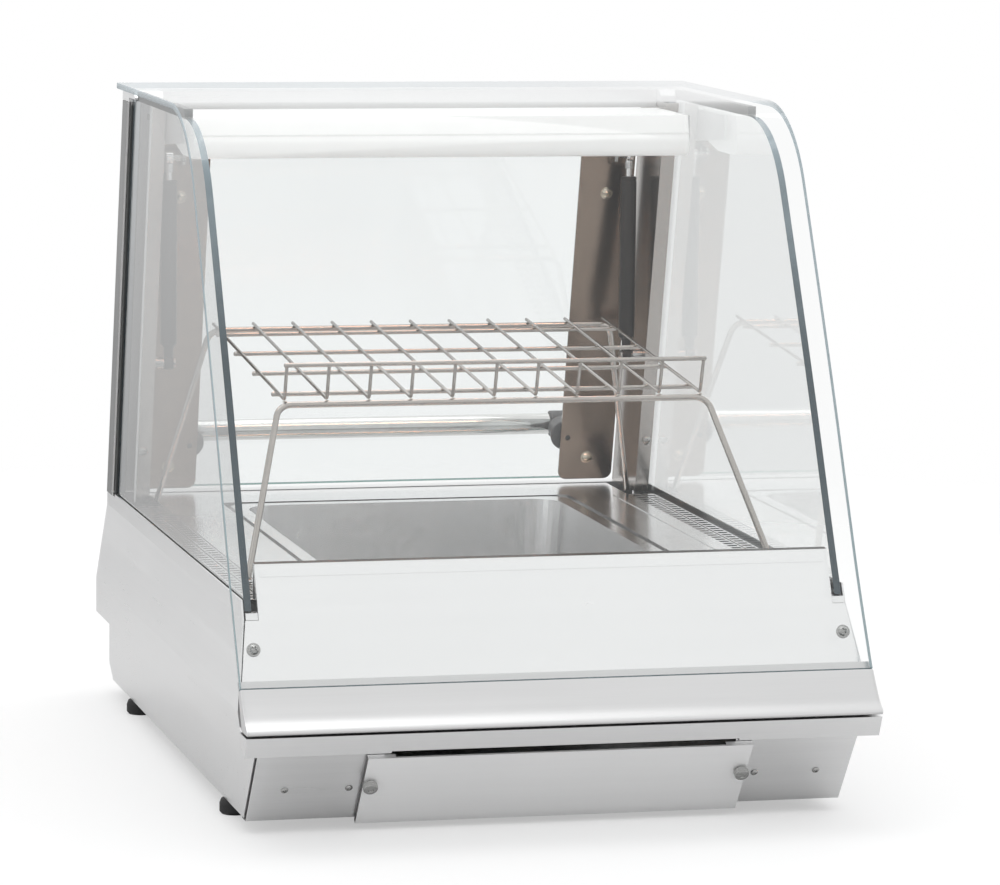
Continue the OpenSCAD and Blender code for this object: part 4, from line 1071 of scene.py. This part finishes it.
# ------------------------------------------------------------------ camera
az, pitch, roll = math.radians(14.16), math.radians(7.63), math.radians(0.69)
fwd = Vector((math.sin(az) * math.cos(pitch), math.cos(az) * math.cos(pitch), -math.sin(pitch)))
right = Vector((math.cos(az), -math.sin(az), 0))
up = right.cross(fwd)
c_, s_ = math.cos(roll), math.sin(roll)
ix = c_ * right - s_ * (-up)          # image x, to the right
iy = s_ * right + c_ * (-up)          # image y, down
rot = Matrix((ix, -iy, -fwd)).transposed()
cam = bpy.data.cameras.new("camera")
cam.sensor_fit = "HORIZONTAL"
cam.sensor_width = 36.0
cam.lens = 178.45
cam.clip_end = 60
cam_o = link(bpy.data.objects.new("camera", cam))
cam_o.matrix_world = Matrix.Translation((-1.0373, -4.2473, 0.8653)) @ rot.to_4x4()
SC.camera = cam_o

# ------------------------------------------------------------------ studio
world = bpy.data.worlds.new("studio")
SC.world = world
world.use_nodes = True
wt = world.node_tree
wt.nodes.clear()


def wn(kind, **kw):
    x = wt.nodes.new(kind)
    for k, v in kw.items():
        setattr(x, k, v)
    return x


wo = wn("ShaderNodeOutputWorld")
tcw = wn("ShaderNodeTexCoord")
sepw = wn("ShaderNodeSeparateXYZ")
wt.links.new(tcw.outputs["Generated"], sepw.inputs[0])
# brightness by height: dimmer below the horizon, brighter overhead
rw = wn("ShaderNodeValToRGB")
mrw = wn("ShaderNodeMapRange")
mrw.inputs["From Min"].default_value = -1.0
wt.links.new(sepw.outputs["Z"], mrw.inputs["Value"])
wt.links.new(mrw.outputs["Result"], rw.inputs["Fac"])
els = rw.color_ramp.elements
els[0].position, els[0].color = 0.0, (0.42, 0.42, 0.43, 1)
els[1].position, els[1].color = 1.0, (0.92, 0.92, 0.92, 1)
for pos, v in ((0.42, 0.50), (0.49, 0.80), (0.56, 0.95), (0.66, 0.90), (0.78, 0.98), (0.86, 1.02)):
    e = els.new(pos)
    e.color = (v, v, v * 1.005, 1)
# the wall behind is brighter than the room in front
ry_ = wn("ShaderNodeMapRange")
ry_.inputs["From Min"].default_value = 0.2
ry_.inputs["From Max"].default_value = 0.95
ry_.inputs["To Min"].default_value = 1.0
ry_.inputs["To Max"].default_value = 1.12
wt.links.new(sepw.outputs["Y"], ry_.inputs["Value"])
# one side of the room a little darker than the other
rx = wn("ShaderNodeMapRange")
rx.inputs["From Min"].default_value = -1.0
rx.inputs["From Max"].default_value = 1.0
rx.inputs["To Min"].default_value = 0.92
rx.inputs["To Max"].default_value = 1.06
wt.links.new(sepw.outputs["X"], rx.inputs["Value"])
mulw = wn("ShaderNodeMath", operation="MULTIPLY")
mulx = wn("ShaderNodeMath", operation="MULTIPLY")
bwn = wn("ShaderNodeRGBToBW")
wt.links.new(rw.outputs["Color"], bwn.inputs[0])
wt.links.new(bwn.outputs[0], mulx.inputs[0])
wt.links.new(rx.outputs["Result"], mulx.inputs[1])
wt.links.new(mulx.outputs[0], mulw.inputs[0])
wt.links.new(ry_.outputs["Result"], mulw.inputs[1])
b_env = wn("ShaderNodeBackground")
b_env.inputs["Color"].default_value = (0.994, 0.997, 1.0, 1)
wt.links.new(mulw.outputs[0], b_env.inputs["Strength"])
b_cam = wn("ShaderNodeBackground")
b_cam.inputs["Color"].default_value = (1, 1, 1, 1)
b_cam.inputs["Strength"].default_value = 1.0
lp = wn("ShaderNodeLightPath")
mxw = wn("ShaderNodeMixShader")
wt.links.new(lp.outputs["Is Camera Ray"], mxw.inputs[0])
wt.links.new(b_env.outputs[0], mxw.inputs[1])
wt.links.new(b_cam.outputs[0], mxw.inputs[2])
wt.links.new(mxw.outputs[0], wo.inputs["Surface"])


def area(name, loc, target, size, power, size_y=None, color=(1, 1, 1)):
    l = bpy.data.lights.new(name, "AREA")
    l.energy = power
    l.color = color
    l.size = size
    if size_y:
        l.shape = "RECTANGLE"
        l.size_y = size_y
    o = link(bpy.data.objects.new(name, l))
    o.location = loc
    d = Vector(target) - Vector(loc)
    o.rotation_euler = d.to_track_quat("-Z", "Y").to_euler()
    return o


area("key_top", (-0.3, 0.5, 2.8), (0, 0.0, 0.2), 2.6, 20, 1.8)
area("fill_left", (-2.6, -1.0, 0.9), (0, 0, 0.3), 1.6, 3)
area("rim_right", (1.9, 1.2, 1.6), (0, 0, 0.4), 1.4, 4)

bpy.ops.mesh.primitive_circle_add(vertices=96, radius=4.0, fill_type="NGON", location=(0, 0, 0))
floor = bpy.context.active_object
floor.name = "floor"
ft = NT("floor_pale")
fn_ = ft.noise(ft.coords((1, 1, 1)), 2.0, 3, 0.5)
fc = ft.ramp(fn_, [(0.3, g(0.93)), (0.7, g(0.95))])
fb = ft.n("ShaderNodeBsdfPrincipled")
ft.l(fc, fb.inputs["Base Color"])
fb.inputs["Roughness"].default_value = 0.6
fb.inputs["Specular IOR Level"].default_value = 0.1
fe = ft.n("ShaderNodeEmission")
fe.inputs["Strength"].default_value = 1.0
fmc = ft.n("ShaderNodeMixShader")
fmc.inputs[0].default_value = 0.45
ft.l(fb.outputs[0], fmc.inputs[1])
ft.l(fe.outputs[0], fmc.inputs[2])
fb2 = ft.n("ShaderNodeBsdfPrincipled")
ft.l(ft.ramp(fn_, [(0.3, g(0.66)), (0.7, g(0.70))]), fb2.inputs["Base Color"])
fb2.inputs["Roughness"].default_value = 0.8
flp = ft.n("ShaderNodeLightPath")
fms = ft.n("ShaderNodeMixShader")
ft.l(flp.outputs["Is Camera Ray"], fms.inputs[0])
ft.l(fb2.outputs[0], fms.inputs[1])
ft.l(fmc.outputs[0], fms.inputs[2])
ftc = ft.n("ShaderNodeTexCoord")
fl = ft.n("ShaderNodeVectorMath", operation="LENGTH")
ft.l(ftc.outputs["Object"], fl.inputs[0])
ff_ = ft.rng(fl.outputs["Value"], 0.75, 1.9, 0.0, 1.0)
ftr = ft.n("ShaderNodeBsdfTransparent")
fmx = ft.n("ShaderNodeMixShader")
ft.l(ff_, fmx.inputs[0])
ft.l(fms.outputs[0], fmx.inputs[1])
ft.l(ftr.outputs[0], fmx.inputs[2])
ft.l(fmx.outputs[0], ft.out.inputs["Surface"])
paint(floor, ft.m)

SC.view_settings.view_transform = "Standard"
SC.view_settings.look = "None"
SC.view_settings.exposure = 0.0
